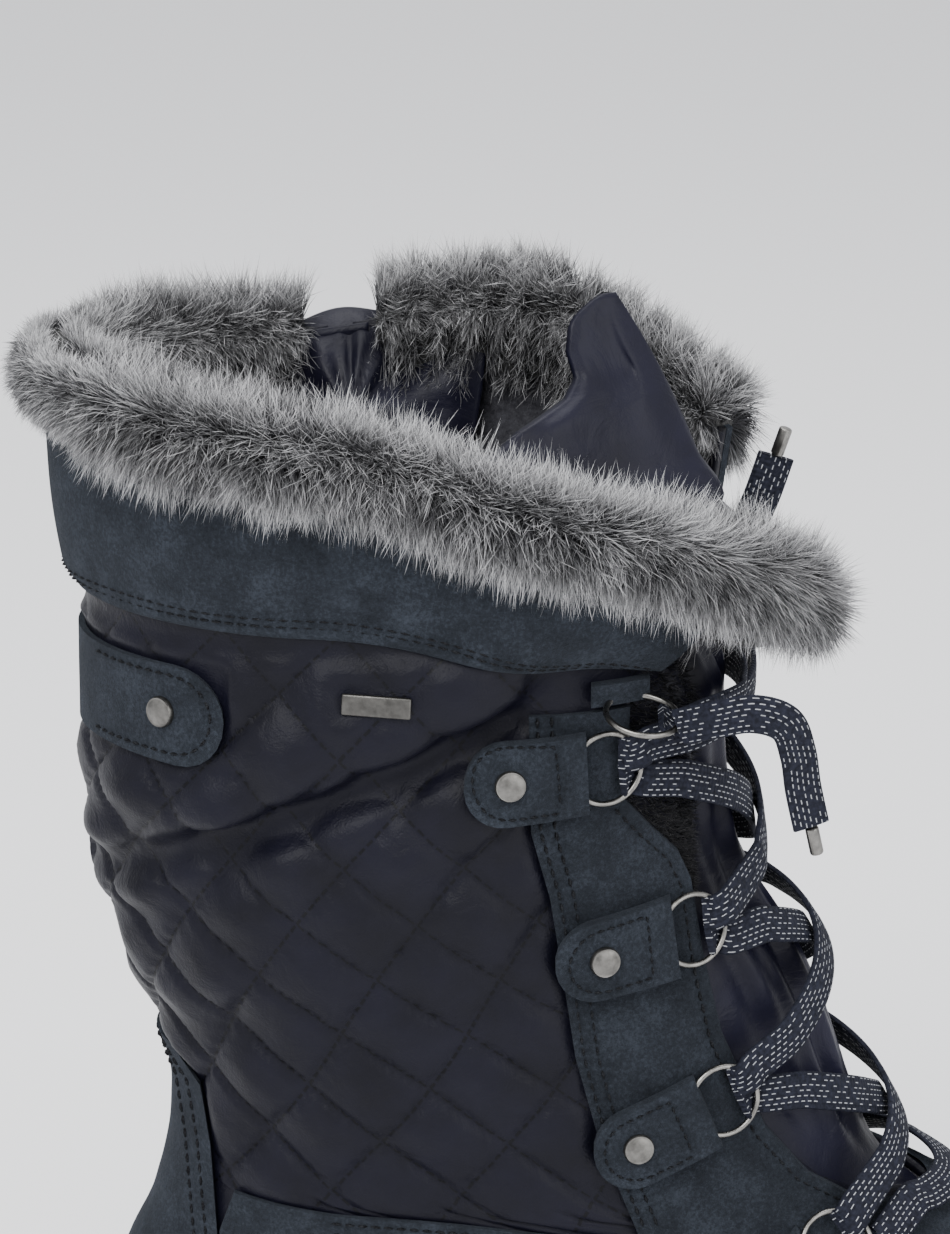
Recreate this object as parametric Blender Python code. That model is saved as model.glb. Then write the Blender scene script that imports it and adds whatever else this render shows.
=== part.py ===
"""An apres ski boot for the right foot, in metres.

The toe points along +X, +Z is up and +Y is the inner side of the foot.
The origin is the centre of the heel's flat tread.
"""

import math
from collections import namedtuple

import bmesh
import bpy
import numpy as np
from mathutils import Matrix, Vector

# Foot and sole
LAST_LENGTH = 0.264
BALL_WIDTH = 0.094
HEEL_BACK = -0.042
TOE_SWING = 0.006
SOLE_HEEL = 0.034
SOLE_BALL = 0.023
TOE_SPRING = 0.009
SOLE_LEDGE = 0.0036
SIDE_GROOVE = 0.0014
ARCH_RISE = 0.009
TREAD_DEPTH = 0.004
TREAD_GROOVE = 0.0036
TREAD_PITCH = 0.0145
INSOLE_THICKNESS = 0.003

# Upper
UPPER_HEIGHT = 0.230
WALL = 0.0024
COLLAR_TWIST = 0.019
COLLAR_DIP = 0.0135
CREASE_DEPTH = 0.0038
CREASE_SWELL = 0.0042
CREASE_WIDTH = 0.007
GAP = 0.0003
SUEDE = 0.0015
TAB_THICKNESS = 0.0030

# Tongue
TONGUE_THICKNESS = 0.0022
TONGUE_UNDERLAP = 0.009
TONGUE_BULGE = 0.0030
TONGUE_LEAN = 0.0178
TONGUE_TIP_X = 0.0735
TONGUE_TIP_Y = 0.004
TONGUE_TIP_Z = 0.2960

# Fur
FUR_HANG = 0.0082
FUR_RISE = 0.0112
FUR_OUT = 0.0098
FUR_IN = 0.0095
FUR_LOCK = 0.0034
FUR_SPLIT = 0.0138
FUR_DROOP = 0.40
FUR_SHORT = 0.010
FUR_TURN = 0.45

# Metal
RING_RADIUS = 0.0080
RING_WIRE = 0.0013
RING_SEAT = 0.0020
TAB_HEIGHT = 0.0180
RIVET_RADIUS = 0.0035
RIVET_HEIGHT = 0.0017
PLATE_LENGTH = 0.0150
PLATE_HEIGHT = 0.0047
PLATE_THICKNESS = 0.0012

# Lace
LACE_WIDTH = 0.0085
LACE_THICKNESS = 0.0018
LACE_STAND_OFF = 0.0048
LACE_END_TUBE = 0.0018
LACE_END_ASIDE = 0.0045
AGLET_RADIUS = 0.0015
AGLET_LENGTH = 0.0065

# Zip on the inner side
ZIP_X = 0.012
ZIP_SLOT = 0.0058
ZIP_TEETH = 0.0046
ZIP_TAPE = 0.013
ZIP_TAPE_THICKNESS = 0.0010
ZIP_GAP_IN_CUFF = 0.0125
SLIDER_WIDTH = 0.0080
SLIDER_HEIGHT = 0.0110
SLIDER_THICKNESS = 0.0026
BAIL_WIRE = 0.0007
BAIL_CLEAR = 0.0022
PULL_WIDTH = 0.0070
PULL_LENGTH = 0.0210
PULL_THICKNESS = 0.0011
PULL_HOLE = 0.0034

AROUND = 28

# Each row is one section of the upper, in a plane across the foot from its back point to its
# front point. x is a share of LAST_LENGTH from the heel, z a share of UPPER_HEIGHT above the
# sole, the half width a share of half the ball width, and the rounds shares of the section.
Section = namedtuple(
    "Section",
    "back_x back_z front_x front_z half_width foot sole back_round front_round",
)
SECTIONS = (
    Section(0.000, 0.000, 1.000, 0.000, 1.00, 1.00, 1.00, 0.14, 0.24),
    Section(-0.008, 0.043, 1.006, 0.039, 1.02, 1.00, 0.75, 0.14, 0.24),
    Section(-0.008, 0.091, 0.992, 0.087, 1.01, 1.00, 0.45, 0.15, 0.27),
    Section(0.004, 0.139, 0.955, 0.130, 0.97, 0.95, 0.20, 0.17, 0.34),
    Section(0.023, 0.183, 0.890, 0.165, 0.93, 0.85, 0.06, 0.19, 0.44),
    Section(0.042, 0.217, 0.814, 0.191, 0.89, 0.70, 0.00, 0.22, 0.50),
    Section(0.051, 0.248, 0.750, 0.217, 0.87, 0.55, 0.00, 0.24, 0.52),
    Section(0.057, 0.274, 0.703, 0.252, 0.85, 0.40, 0.00, 0.26, 0.52),
    Section(0.062, 0.304, 0.667, 0.304, 0.84, 0.28, 0.00, 0.28, 0.50),
    Section(0.064, 0.335, 0.640, 0.370, 0.83, 0.15, 0.00, 0.30, 0.48),
    Section(0.064, 0.365, 0.619, 0.435, 0.83, 0.06, 0.00, 0.32, 0.46),
    Section(0.057, 0.400, 0.593, 0.500, 0.84, 0.00, 0.00, 0.34, 0.46),
    Section(0.038, 0.457, 0.561, 0.561, 0.87, 0.00, 0.00, 0.36, 0.46),
    Section(0.019, 0.522, 0.542, 0.617, 0.91, 0.00, 0.00, 0.38, 0.46),
    Section(0.000, 0.594, 0.534, 0.678, 0.94, 0.00, 0.00, 0.38, 0.46),
    Section(-0.006, 0.681, 0.530, 0.737, 0.95, 0.00, 0.00, 0.38, 0.46),
    Section(-0.006, 0.775, 0.530, 0.795, 0.95, 0.00, 0.00, 0.38, 0.46),
    Section(-0.006, 0.876, 0.536, 0.870, 0.96, 0.00, 0.00, 0.38, 0.46),
    Section(-0.014, 0.904, 0.553, 0.892, 0.98, 0.00, 0.00, 0.38, 0.46),
    Section(-0.022, 0.974, 0.576, 0.928, 1.02, 0.00, 0.00, 0.38, 0.46),
    Section(-0.025, 1.082, 0.591, 0.991, 1.02, 0.00, 0.00, 0.38, 0.46),
)
TOP = len(SECTIONS) - 1
CUFF_FOOT = 17
TWIST_FOOT = 12.0
DIP_FOOT = 14.5

# The foot's half widths at each tenth of its length, as shares of half the ball width.
FootWidth = namedtuple("FootWidth", "outer inner")
FOOT_WIDTHS = (
    FootWidth(0.62, 0.62),
    FootWidth(0.66, 0.66),
    FootWidth(0.68, 0.66),
    FootWidth(0.71, 0.63),
    FootWidth(0.79, 0.64),
    FootWidth(0.90, 0.74),
    FootWidth(0.98, 0.89),
    FootWidth(1.01, 1.00),
    FootWidth(1.00, 1.02),
    FootWidth(0.93, 0.99),
    FootWidth(0.84, 0.94),
)

# Lines drawn on the side view. x and z are the same shares as in SECTIONS.
Spot = namedtuple("Spot", "x z")
CREASE = (Spot(0.008, 0.610), Spot(0.393, 0.815))
THROAT = (
    Spot(0.536, 1.300),
    Spot(0.536, 0.991),
    Spot(0.525, 0.905),
    Spot(0.505, 0.866),
    Spot(0.478, 0.836),
    Spot(0.449, 0.808),
    Spot(0.445, 0.696),
    Spot(0.468, 0.662),
    Spot(0.490, 0.632),
    Spot(0.502, 0.600),
    Spot(0.513, 0.526),
    Spot(0.529, 0.448),
    Spot(0.568, 0.346),
    Spot(0.606, 0.291),
    Spot(0.655, 0.252),
    Spot(0.710, 0.238),
    Spot(0.760, 0.250),
)
EYESTAY_BACK = (
    Spot(0.365, 0.790),
    Spot(0.367, 0.678),
    Spot(0.383, 0.609),
    Spot(0.393, 0.535),
    Spot(0.405, 0.443),
    Spot(0.427, 0.348),
    Spot(0.460, 0.254),
)
EYESTAY_FOOT = (
    Spot(0.520, 0.245),
    Spot(0.590, 0.225),
    Spot(0.634, 0.203),
)
QUARTER_TOP = (
    Spot(0.116, 0.276),
    Spot(0.200, 0.268),
    Spot(0.310, 0.262),
    Spot(0.460, 0.248),
    Spot(0.520, 0.239),
    Spot(0.590, 0.219),
    Spot(0.632, 0.197),
)
VAMP_SEAM = (
    Spot(0.664, 0.300),
    Spot(0.642, 0.215),
    Spot(0.628, 0.150),
    Spot(0.596, 0.070),
    Spot(0.572, -0.100),
)
COUNTER_EDGE = (
    Spot(0.061, 0.412),
    Spot(0.087, 0.378),
    Spot(0.095, 0.317),
    Spot(0.100, 0.230),
    Spot(0.106, 0.113),
    Spot(0.114, -0.100),
)
STRAP_TOP = 0.832
STRAP_FOOT = 0.738
STRAP_END = 0.117

# The tabs and rings, from the top pair down. Each is placed by its ring's bar. The tilt is the
# way from the tab to the ring on the side view, in degrees, and the turn is how far the ring
# stands out from the boot. The reach goes from the bar back to the rivet, or to the tab's end.
Fastening = namedtuple("Fastening", "name bar_x bar_z tilt turn reach rivet")
FASTENINGS = (
    Fastening("a", 0.440, 0.806, -90.0, 78.0, 0.0028, False),
    Fastening("b", 0.396, 0.733, 3.0, 0.0, 0.0132, True),
    Fastening("c", 0.471, 0.552, 8.0, 0.0, 0.0132, True),
    Fastening("d", 0.501, 0.371, 22.0, 0.0, 0.0132, True),
    Fastening("e", 0.604, 0.206, 42.0, 8.0, 0.0132, True),
)

NAVY_SUEDE = (0.039, 0.047, 0.062)
NAVY_QUILT = (0.016, 0.016, 0.027)
NAVY_SATIN = (0.028, 0.029, 0.052)
NAVY_LACE = (0.025, 0.028, 0.045)
GREY_FUR = (0.260, 0.260, 0.265)
BLACK_RUBBER = (0.020, 0.021, 0.023)
NICKEL = (0.450, 0.440, 0.420)
LINING = (0.050, 0.050, 0.055)


def smooth(edge0, edge1, value):
    """0 below edge0, 1 above edge1, and a soft step between."""
    share = min(max((value - edge0) / (edge1 - edge0), 0.0), 1.0)
    return share * share * (3.0 - 2.0 * share)


def cubic(rows, place):
    """A smooth curve through evenly spaced rows, read at a place counted in rows."""
    last = len(rows) - 1
    first = min(max(int(math.floor(place)), 0), last - 1)
    share = place - first
    picks = (max(first - 1, 0), first, first + 1, min(first + 2, last))
    a, b, c, d = (np.array(rows[i], float) for i in picks)
    bend = 2.0 * a - 5.0 * b + 4.0 * c - d
    turn = 3.0 * (b - c) + d - a
    return b + 0.5 * share * (c - a + share * (bend + share * turn))


def at(spot):
    """A share pair's place on the side view, in metres."""
    return HEEL_BACK + spot[0] * LAST_LENGTH, SOLE_HEEL + spot[1] * UPPER_HEIGHT


def along(x):
    """How far x lies from the heel to the toe, as a share."""
    return (x - HEEL_BACK) / LAST_LENGTH


def sole_bottom(x):
    return TOE_SPRING * max(0.0, (along(x) - 0.76) / 0.24) ** 2


def sole_top(x):
    thickness = SOLE_HEEL + (SOLE_BALL - SOLE_HEEL) * smooth(0.22, 0.64, along(x))
    return sole_bottom(x) + thickness


def rounded(share, length):
    """A round end's width at a share of the section from that end."""
    rest = 1.0 - min(max(share, 0.0) / length, 1.0)
    return math.sqrt(max(0.0, 1.0 - rest * rest))


def crease_push(x, z):
    """How far the outer side stands out at the slouch crease and the swell above it."""
    (x0, z0), (x1, z1) = (at(spot) for spot in CREASE)
    slope = math.atan2(z1 - z0, x1 - x0)
    above = (z - z0) * math.cos(slope) - (x - x0) * math.sin(slope)
    reach = (x - x0) / (x1 - x0)
    fade = smooth(-0.25, 0.10, reach) * (1.0 - smooth(0.85, 1.15, reach))
    trough = CREASE_DEPTH * math.exp(-((above / CREASE_WIDTH) ** 2))
    swell = CREASE_SWELL * math.exp(-(((above - 2.0 * CREASE_WIDTH) / (1.4 * CREASE_WIDTH)) ** 2))
    return fade * (swell - trough)


def surface(t, u):
    """The upper's outside. t counts sections upward, u runs back, outer side, front, inner side."""
    section = Section(*cubic(SECTIONS, t))
    half_round = AROUND / 2
    turn = u % AROUND
    outer = turn <= half_round
    step = turn if outer else AROUND - turn
    share = (1.0 - math.cos(math.pi * step / half_round)) / 2.0
    back_x, back_z = at((section.back_x, section.back_z))
    front_x, front_z = at((section.front_x, section.front_z))
    x = back_x + (front_x - back_x) * share
    z = back_z + (front_z - back_z) * share
    foot = cubic(FOOT_WIDTHS, share * (len(FOOT_WIDTHS) - 1))[0 if outer else 1]
    body = section.foot * foot + (1.0 - section.foot) * (0.90 + 0.10 * math.sin(math.pi * share))
    ends = rounded(share, section.back_round) * rounded(1.0 - share, section.front_round)
    half = section.half_width * BALL_WIDTH / 2 * body * ends
    side = -half if outer else half
    z += (sole_top(x) + GAP - z) * max(section.sole, 0.0)
    lean = smooth(0.35, 0.95, share) if outer else smooth(0.15, 0.80, share)
    z += COLLAR_TWIST * smooth(TWIST_FOOT, TOP, t) * lean * side / (BALL_WIDTH / 2)
    dip = smooth(0.75, 1.0, share) if outer else smooth(0.60, 0.93, share)
    z -= COLLAR_DIP * smooth(DIP_FOOT, TOP, t) * dip
    if outer:
        side -= crease_push(x, z) * math.sin(math.pi * share) ** 0.5 * (1.0 - section.foot)
    return Vector((x, side + section.foot * TOE_SWING * share ** 3, z))


def normal(t, u):
    """The upper's outward direction."""
    t0, t1 = max(t - 0.3, 0.0), min(t + 0.3, TOP)
    rise = surface(t1, u) - surface(t0, u)
    run = surface(t, u + 0.4) - surface(t, u - 0.4)
    return run.cross(rise).normalized()


def offset(t, u, distance):
    """A point off the upper's outside, kept above the sole."""
    place = surface(t, u) + normal(t, u) * distance
    place.z = max(place.z, sole_top(place.x) + GAP)
    return place


def facet(t, u):
    """As surface, on the flat triangles between the model's own points."""
    low_t, low_u = min(int(t), TOP - 1), math.floor(u)
    up, side = t - low_t, u - low_u
    start, end = surface(low_t, low_u), surface(low_t + 1, low_u + 1)
    if side >= up:
        corner = surface(low_t, low_u + 1)
        return start + side * (corner - start) + up * (end - corner)
    corner = surface(low_t + 1, low_u)
    return start + up * (corner - start) + side * (end - corner)


def find(x, z, side):
    """The t and u of the upper's outside at x and z, on the outer side (-1) or the inner (1)."""
    low, high = 0.0, AROUND / 2
    t = TOP / 2
    u = AROUND / 4
    for _ in range(40):
        low, high = 0.3, AROUND / 2 - 0.3
        for _ in range(22):
            u = (low + high) / 2
            low, high = (u, high) if surface(t, u if side < 0 else -u).x < x else (low, u)
        error = z - surface(t, u if side < 0 else -u).z
        t = min(max(t + error / UPPER_HEIGHT * TOP * 0.8, 0.0), TOP)
    return t, u if side < 0 else AROUND - u


def material(name, colour, roughness, metallic=0.0):
    found = bpy.data.materials.get(name)
    if found:
        return found
    made = bpy.data.materials.new(name)
    made.use_nodes = True
    shader = made.node_tree.nodes["Principled BSDF"]
    shader.inputs["Base Color"].default_value = (*colour, 1.0)
    shader.inputs["Roughness"].default_value = roughness
    shader.inputs["Metallic"].default_value = metallic
    made.diffuse_color = (*colour, 1.0)
    return made


def suede():
    return material("navy_suede", NAVY_SUEDE, 0.95)


def quilt():
    return material("navy_quilt", NAVY_QUILT, 0.55)


def satin():
    return material("navy_satin", NAVY_SATIN, 0.42)


def lace_cloth():
    return material("navy_lace", NAVY_LACE, 0.85)


def fur():
    return material("grey_fur", GREY_FUR, 1.0)


def rubber():
    return material("black_rubber", BLACK_RUBBER, 0.70)


def nickel():
    return material("brushed_nickel", NICKEL, 0.30, 1.0)


def lining():
    return material("fleece_lining", LINING, 1.0)


def add(name, points, faces, finish, angle=35.0):
    """An object from points and faces, shaded smooth up to an angle."""
    mesh = bpy.data.meshes.new(name)
    mesh.from_pydata([tuple(p) for p in points], [], faces)
    mesh.validate()
    if finish:
        mesh.materials.append(finish)
    mesh.shade_smooth()
    mesh.set_sharp_from_angle(angle=math.radians(angle))
    made = bpy.data.objects.new(name, mesh)
    bpy.context.scene.collection.objects.link(made)
    return made


def as_guide(thing):
    thing.hide_render = True
    thing.display_type = "WIRE"
    return thing


def combine(thing, other, operation):
    """Cuts, joins or intersects a thing with a guide, which the model leaves out."""
    as_guide(other)
    change = thing.modifiers.new(operation.lower(), "BOOLEAN")
    change.operation = operation
    change.object = other
    return thing


def slab(name, outside, inside, finish, wrap=False):
    """A closed sheet between two grids of points with the same rows and columns."""
    rows, columns = len(outside), len(outside[0])
    points = [p for row in outside for p in row] + [p for row in inside for p in row]
    under = rows * columns

    def key(row, column, layer=0):
        return row * columns + column % columns + layer * under

    faces = []
    for row in range(rows - 1):
        for column in range(columns if wrap else columns - 1):
            a, b = (row, column), (row, column + 1)
            c, d = (row + 1, column + 1), (row + 1, column)
            for corners in ((a, b, c), (a, c, d)):
                faces.append([key(*corner) for corner in corners])
                faces.append([key(*corner, 1) for corner in reversed(corners)])
    for column in range(columns if wrap else columns - 1):
        faces.append([key(0, column, 1), key(0, column + 1, 1), key(0, column + 1), key(0, column)])
        last = rows - 1
        faces.append([key(last, column), key(last, column + 1), key(last, column + 1, 1), key(last, column, 1)])
    if not wrap:
        end = columns - 1
        for row in range(rows - 1):
            faces.append([key(row, 0), key(row + 1, 0), key(row + 1, 0, 1), key(row, 0, 1)])
            faces.append([key(row, end, 1), key(row + 1, end, 1), key(row + 1, end), key(row, end)])
    return add(name, points, faces, finish)


def shell(name, first, last, near, far, finish):
    """The upper's skin between two offsets, all the way round, from one section to another."""
    heights = range(first, last + 1)
    outside = [[offset(t, u, far) for u in range(AROUND)] for t in heights]
    inside = [[offset(t, u, near) for u in range(AROUND)] for t in heights]
    return slab(name, outside, inside, finish, wrap=True)


def prism(name, outline, y0, y1):
    """A side view outline in metres, drawn out along Y."""
    count = len(outline)
    area = sum(
        outline[i][0] * outline[(i + 1) % count][1] - outline[(i + 1) % count][0] * outline[i][1]
        for i in range(count)
    )
    loop = list(outline) if area > 0 else list(reversed(outline))
    points = [(x, y0, z) for x, z in loop] + [(x, y1, z) for x, z in loop]
    faces = [list(range(count)), list(range(2 * count - 1, count - 1, -1))]
    for i in range(count):
        after = (i + 1) % count
        faces.append([i, i + count, after + count, after])
    return as_guide(add(name, points, faces, None))


def block(name, low, high):
    """A plain box between two corners."""
    (x0, y0, z0), (x1, y1, z1) = low, high
    return prism(name, [(x0, z0), (x1, z0), (x1, z1), (x0, z1)], y0, y1)


FAR = 0.20


def throat_cutter(name):
    """All that lies in front of the throat's edge."""
    edge = [at(spot) for spot in THROAT]
    return prism(name, edge + [(edge[-1][0], edge[0][1])], -FAR, FAR)


def zip_cutter(name, width, foot_z):
    top = SOLE_HEEL + UPPER_HEIGHT * 1.3
    return block(name, (ZIP_X - width / 2, 0.0, foot_z), (ZIP_X + width / 2, FAR, top))


def zip_foot():
    return SOLE_HEEL + 0.300 * UPPER_HEIGHT


def make_upper():
    """The one hollow shell, open at the collar, the throat, the zip and underneath."""
    upper = shell("upper", 0, TOP, -WALL, 0.0, quilt())
    combine(upper, throat_cutter("cut_throat"), "DIFFERENCE")
    combine(upper, zip_cutter("cut_zip_slot", ZIP_SLOT, zip_foot()), "DIFFERENCE")
    return upper


def overlay(name, first, last, outline, sides=(-FAR, FAR), near=GAP, thickness=SUEDE):
    """A suede piece on the upper, cut to a side view outline."""
    piece = shell(name, first, last, near, near + thickness, suede())
    return combine(piece, prism(f"cut_{name}", outline, *sides), "INTERSECT")


def shifted(line, dx, dz=0.0):
    return [(x + dx, z + dz) for x, z in line]


def make_foot_overlays():
    """Counter, quarters and vamp, low on the foot."""
    low = SOLE_HEEL - 0.2 * UPPER_HEIGHT
    edge = [at(spot) for spot in COUNTER_EDGE]
    behind = [(HEEL_BACK - 0.05, low), (HEEL_BACK - 0.05, edge[0][1])]
    overlay("heel_counter", 0, 12, edge + behind)

    seam = [at(spot) for spot in VAMP_SEAM]
    ahead = [(HEEL_BACK + 1.2 * LAST_LENGTH, low), (HEEL_BACK + 1.2 * LAST_LENGTH, seam[0][1])]
    vamp = overlay("vamp", 0, 9, seam + ahead)
    combine(vamp, throat_cutter("cut_vamp_throat"), "DIFFERENCE")

    top = [at(spot) for spot in QUARTER_TOP]
    before = shifted([p for p in edge if p[1] < top[0][1]], 2 * GAP)
    after = shifted([p for p in seam if p[1] < top[-1][1]], -2 * GAP)
    outline = top + after + list(reversed(before))
    overlay("quarter_outer", 0, 9, outline, (-FAR, 0.0))
    overlay("quarter_inner", 0, 9, outline, (0.0, FAR))


def make_eyestays():
    """The suede down each side of the throat."""
    back = [at(spot) for spot in EYESTAY_BACK]
    foot = [at(spot) for spot in EYESTAY_FOOT]
    seam = [p for p in (at(spot) for spot in VAMP_SEAM) if p[1] > foot[-1][1]]
    seam = shifted(list(reversed(seam)), -2 * GAP)
    outline = back + foot + seam + [(HEEL_BACK + 0.70 * LAST_LENGTH, back[0][1])]
    for name, sides in (("outer", (-FAR, 0.0)), ("inner", (0.0, FAR))):
        piece = overlay(f"eyestay_{name}", 4, CUFF_FOOT, outline, sides)
        combine(piece, throat_cutter(f"cut_eyestay_{name}_throat"), "DIFFERENCE")


def make_cuffs():
    """The suede band below the fur, split at the zip and the throat."""
    split = ZIP_X + ZIP_GAP_IN_CUFF / 2
    low, high = SOLE_HEEL + 0.6 * UPPER_HEIGHT, SOLE_HEEL + 1.3 * UPPER_HEIGHT
    ahead = (HEEL_BACK + 0.8 * LAST_LENGTH, FAR, high)
    outer = shell("cuff_outer", CUFF_FOOT, TOP, GAP, GAP + SUEDE, suede())
    combine(outer, block("cut_cuff_outer", (split - ZIP_GAP_IN_CUFF, 0.0, low), ahead), "DIFFERENCE")
    combine(outer, throat_cutter("cut_cuff_outer_throat"), "DIFFERENCE")
    inner = shell("cuff_inner", CUFF_FOOT, TOP, GAP, GAP + SUEDE, suede())
    combine(inner, block("cut_cuff_inner", (split, 0.0, low), ahead), "INTERSECT")
    combine(inner, throat_cutter("cut_cuff_inner_throat"), "DIFFERENCE")


def rounded_strip(x0, x1, z0, z1, steps=5):
    """A strip's outline with a half round end at x1."""
    radius = (z1 - z0) / 2
    arc = []
    for i in range(steps + 1):
        angle = -math.pi / 2 + math.pi * i / steps
        arc.append((x1 - radius + radius * math.cos(angle), z0 + radius + radius * math.sin(angle)))
    return [(x0, z0)] + arc + [(x0, z1)]


def make_back_strap():
    """The tab round the back of the shaft, with a round end on each side."""
    end, top = at((STRAP_END, STRAP_TOP))
    foot = at((0.0, STRAP_FOOT))[1]
    outline = rounded_strip(HEEL_BACK - 0.05, end, foot, top)
    overlay("back_strap", 14, CUFF_FOOT, outline)


def frame_at(t, u, lift, tilt=0.0):
    """Axes on the upper: x forward along the surface, y up along it, z straight out."""
    out = normal(t, u)
    forward = Vector((math.cos(tilt), 0.0, math.sin(tilt)))
    forward = (forward - out * forward.dot(out)).normalized()
    up = out.cross(forward)
    place = facet(t, u) + out * lift
    turn = Matrix((forward, up, out)).transposed().to_4x4()
    return Matrix.Translation(place) @ turn


def rise_near(t, u, reach):
    """How far the model's faces within reach stand above the plane through one of their points."""
    out, centre = normal(t, u), facet(t, u)
    rise = 0.0
    for i in range(-15, 16):
        for j in range(-15, 16):
            near = facet(min(max(t + 0.1 * i, 0.0), TOP), u + 0.1 * j) - centre
            if near.length < reach:
                rise = max(rise, near.dot(out))
    return rise


def ring(name, place, wire, finish):
    """A round wire ring, flat in its own frame."""
    around, thick = 12, 4
    points, faces = [], []
    for i in range(around):
        angle = 2 * math.pi * i / around
        for j in range(thick):
            roll = 2 * math.pi * j / thick
            radius = RING_RADIUS + wire / 2 * math.cos(roll)
            height = wire / 2 * math.sin(roll)
            points.append(place @ Vector((radius * math.cos(angle), radius * math.sin(angle), height)))
    for i in range(around):
        for j in range(thick):
            a, b = (i + 1) % around, (j + 1) % thick
            faces.append([i * thick + j, a * thick + j, a * thick + b, i * thick + b])
    return add(name, points, faces, finish, 80.0)


def rivet(name, place):
    """A low domed cap."""
    around = 10
    profile = ((0.94, 0.0), (1.00, 0.35), (0.66, 0.88))
    points, faces = [], []
    for share, height in profile:
        for i in range(around):
            angle = 2 * math.pi * i / around
            radius = RIVET_RADIUS * share
            across = Vector((radius * math.cos(angle), radius * math.sin(angle), 0.0))
            points.append(place @ (across + Vector((0.0, 0.0, RIVET_HEIGHT * height))))
    points.append(place @ Vector((0.0, 0.0, RIVET_HEIGHT)))
    faces.append(list(range(around - 1, -1, -1)))
    for level in range(len(profile) - 1):
        for i in range(around):
            after = (i + 1) % around
            base = level * around
            faces.append([base + i, base + after, base + around + after, base + around + i])
    top = (len(profile) - 1) * around
    for i in range(around):
        faces.append([top + i, top + (i + 1) % around, len(points) - 1])
    return add(name, points, faces, nickel(), 50.0)


def tab_seat(fastening):
    """How far a tab lies from the upper: on the eyestay, or on the upper itself."""
    return 2 * GAP + SUEDE if fastening.rivet else GAP


def ring_place(fastening, side, near):
    """The ring's own axes: its bar is held in the tab, and the ring goes on from there."""
    t, u = find(*at((fastening.bar_x, fastening.bar_z)), side)
    bar = frame_at(t, u, near + TAB_THICKNESS / 2, math.radians(fastening.tilt))
    turn = Matrix.Rotation(-math.radians(fastening.turn), 4, "Y")
    return t, bar @ turn @ Matrix.Translation((RING_RADIUS, 0.0, 0.0))


def tab_outline(fastening):
    """The tab's side view: a strip from just past the ring's bar to a round end behind it."""
    x, z = at((fastening.bar_x, fastening.bar_z))
    angle = math.radians(fastening.tilt)
    if fastening.rivet:
        tail = fastening.reach + TAB_HEIGHT / 2
        strip = rounded_strip(-RING_SEAT, tail, -TAB_HEIGHT / 2, TAB_HEIGHT / 2)
    else:
        half = RING_RADIUS * 0.8
        strip = [(-RING_SEAT, -half), (fastening.reach, -half), (fastening.reach, half), (-RING_SEAT, half)]
    outline = []
    for away, up in strip:
        across = x - away * math.cos(angle) - up * math.sin(angle)
        outline.append((across, z - away * math.sin(angle) + up * math.cos(angle)))
    return outline


def make_fastenings():
    """The suede tabs with their rings and rivets, in pairs down the throat."""
    for side, label in ((-1, "outer"), (1, "inner")):
        sides = (-FAR, 0.0) if side < 0 else (0.0, FAR)
        for fastening in FASTENINGS:
            near = tab_seat(fastening)
            t, place = ring_place(fastening, side, near)
            name = f"{fastening.name}_{label}"
            low, high = max(int(t) - 3, 0), min(int(t) + 4, CUFF_FOOT)
            tab = overlay(f"tab_{name}", low, high, tab_outline(fastening), sides, near, TAB_THICKNESS)
            ring(f"d_ring_{name}", place, RING_WIRE, nickel())
            combine(tab, ring(f"cut_ring_{name}", place, RING_WIRE + 2.6 * GAP, None), "DIFFERENCE")
            if fastening.rivet:
                x, z = at((fastening.bar_x, fastening.bar_z))
                angle = math.radians(fastening.tilt)
                back = fastening.reach
                t, u = find(x - back * math.cos(angle), z - back * math.sin(angle), side)
                lift = near + TAB_THICKNESS + GAP + rise_near(t, u, RIVET_RADIUS)
                rivet(f"rivet_{name}", frame_at(t, u, lift))


def make_strap_rivets():
    end, top = at((STRAP_END, STRAP_TOP))
    foot = at((0.0, STRAP_FOOT))[1]
    for side, label in ((-1, "outer"), (1, "inner")):
        t, u = find(end - 0.6 * (top - foot), (top + foot) / 2, side)
        lift = GAP + SUEDE + GAP + rise_near(t, u, RIVET_RADIUS)
        rivet(f"strap_rivet_{label}", frame_at(t, u, lift))


def make_plate():
    """The small bare metal plate on the outer side."""
    t, u = find(*at((0.242, 0.815)), -1)
    lift = GAP + rise_near(t, u, 0.5 * math.hypot(PLATE_LENGTH, PLATE_HEIGHT))
    place = frame_at(t, u, lift, math.radians(-3.0))
    edge = 0.0005
    points, faces = [], []
    for inset, height in ((0.0, 0.0), (0.0, PLATE_THICKNESS - edge), (edge, PLATE_THICKNESS)):
        half_x, half_y = PLATE_LENGTH / 2 - inset, PLATE_HEIGHT / 2 - inset
        for sx, sy in ((-1, -1), (1, -1), (1, 1), (-1, 1)):
            points.append(place @ Vector((sx * half_x, sy * half_y, height)))
    faces = [[3, 2, 1, 0], [8, 9, 10, 11]]
    for level in (0, 4):
        for i in range(4):
            after = (i + 1) % 4
            faces.append([level + i, level + after, level + 4 + after, level + 4 + i])
    add("badge_plate", points, faces, nickel(), 30.0)


def outline_loop(distance, height):
    """Points round the foot, a distance outside the upper, at a height above each x."""
    loop = []
    for u in range(AROUND):
        point = surface(0, u)
        out = normal(0, u)
        out = Vector((out.x, out.y, 0.0)).normalized()
        place = point + out * distance
        loop.append(Vector((place.x, place.y, height(place.x))))
    return loop


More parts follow.
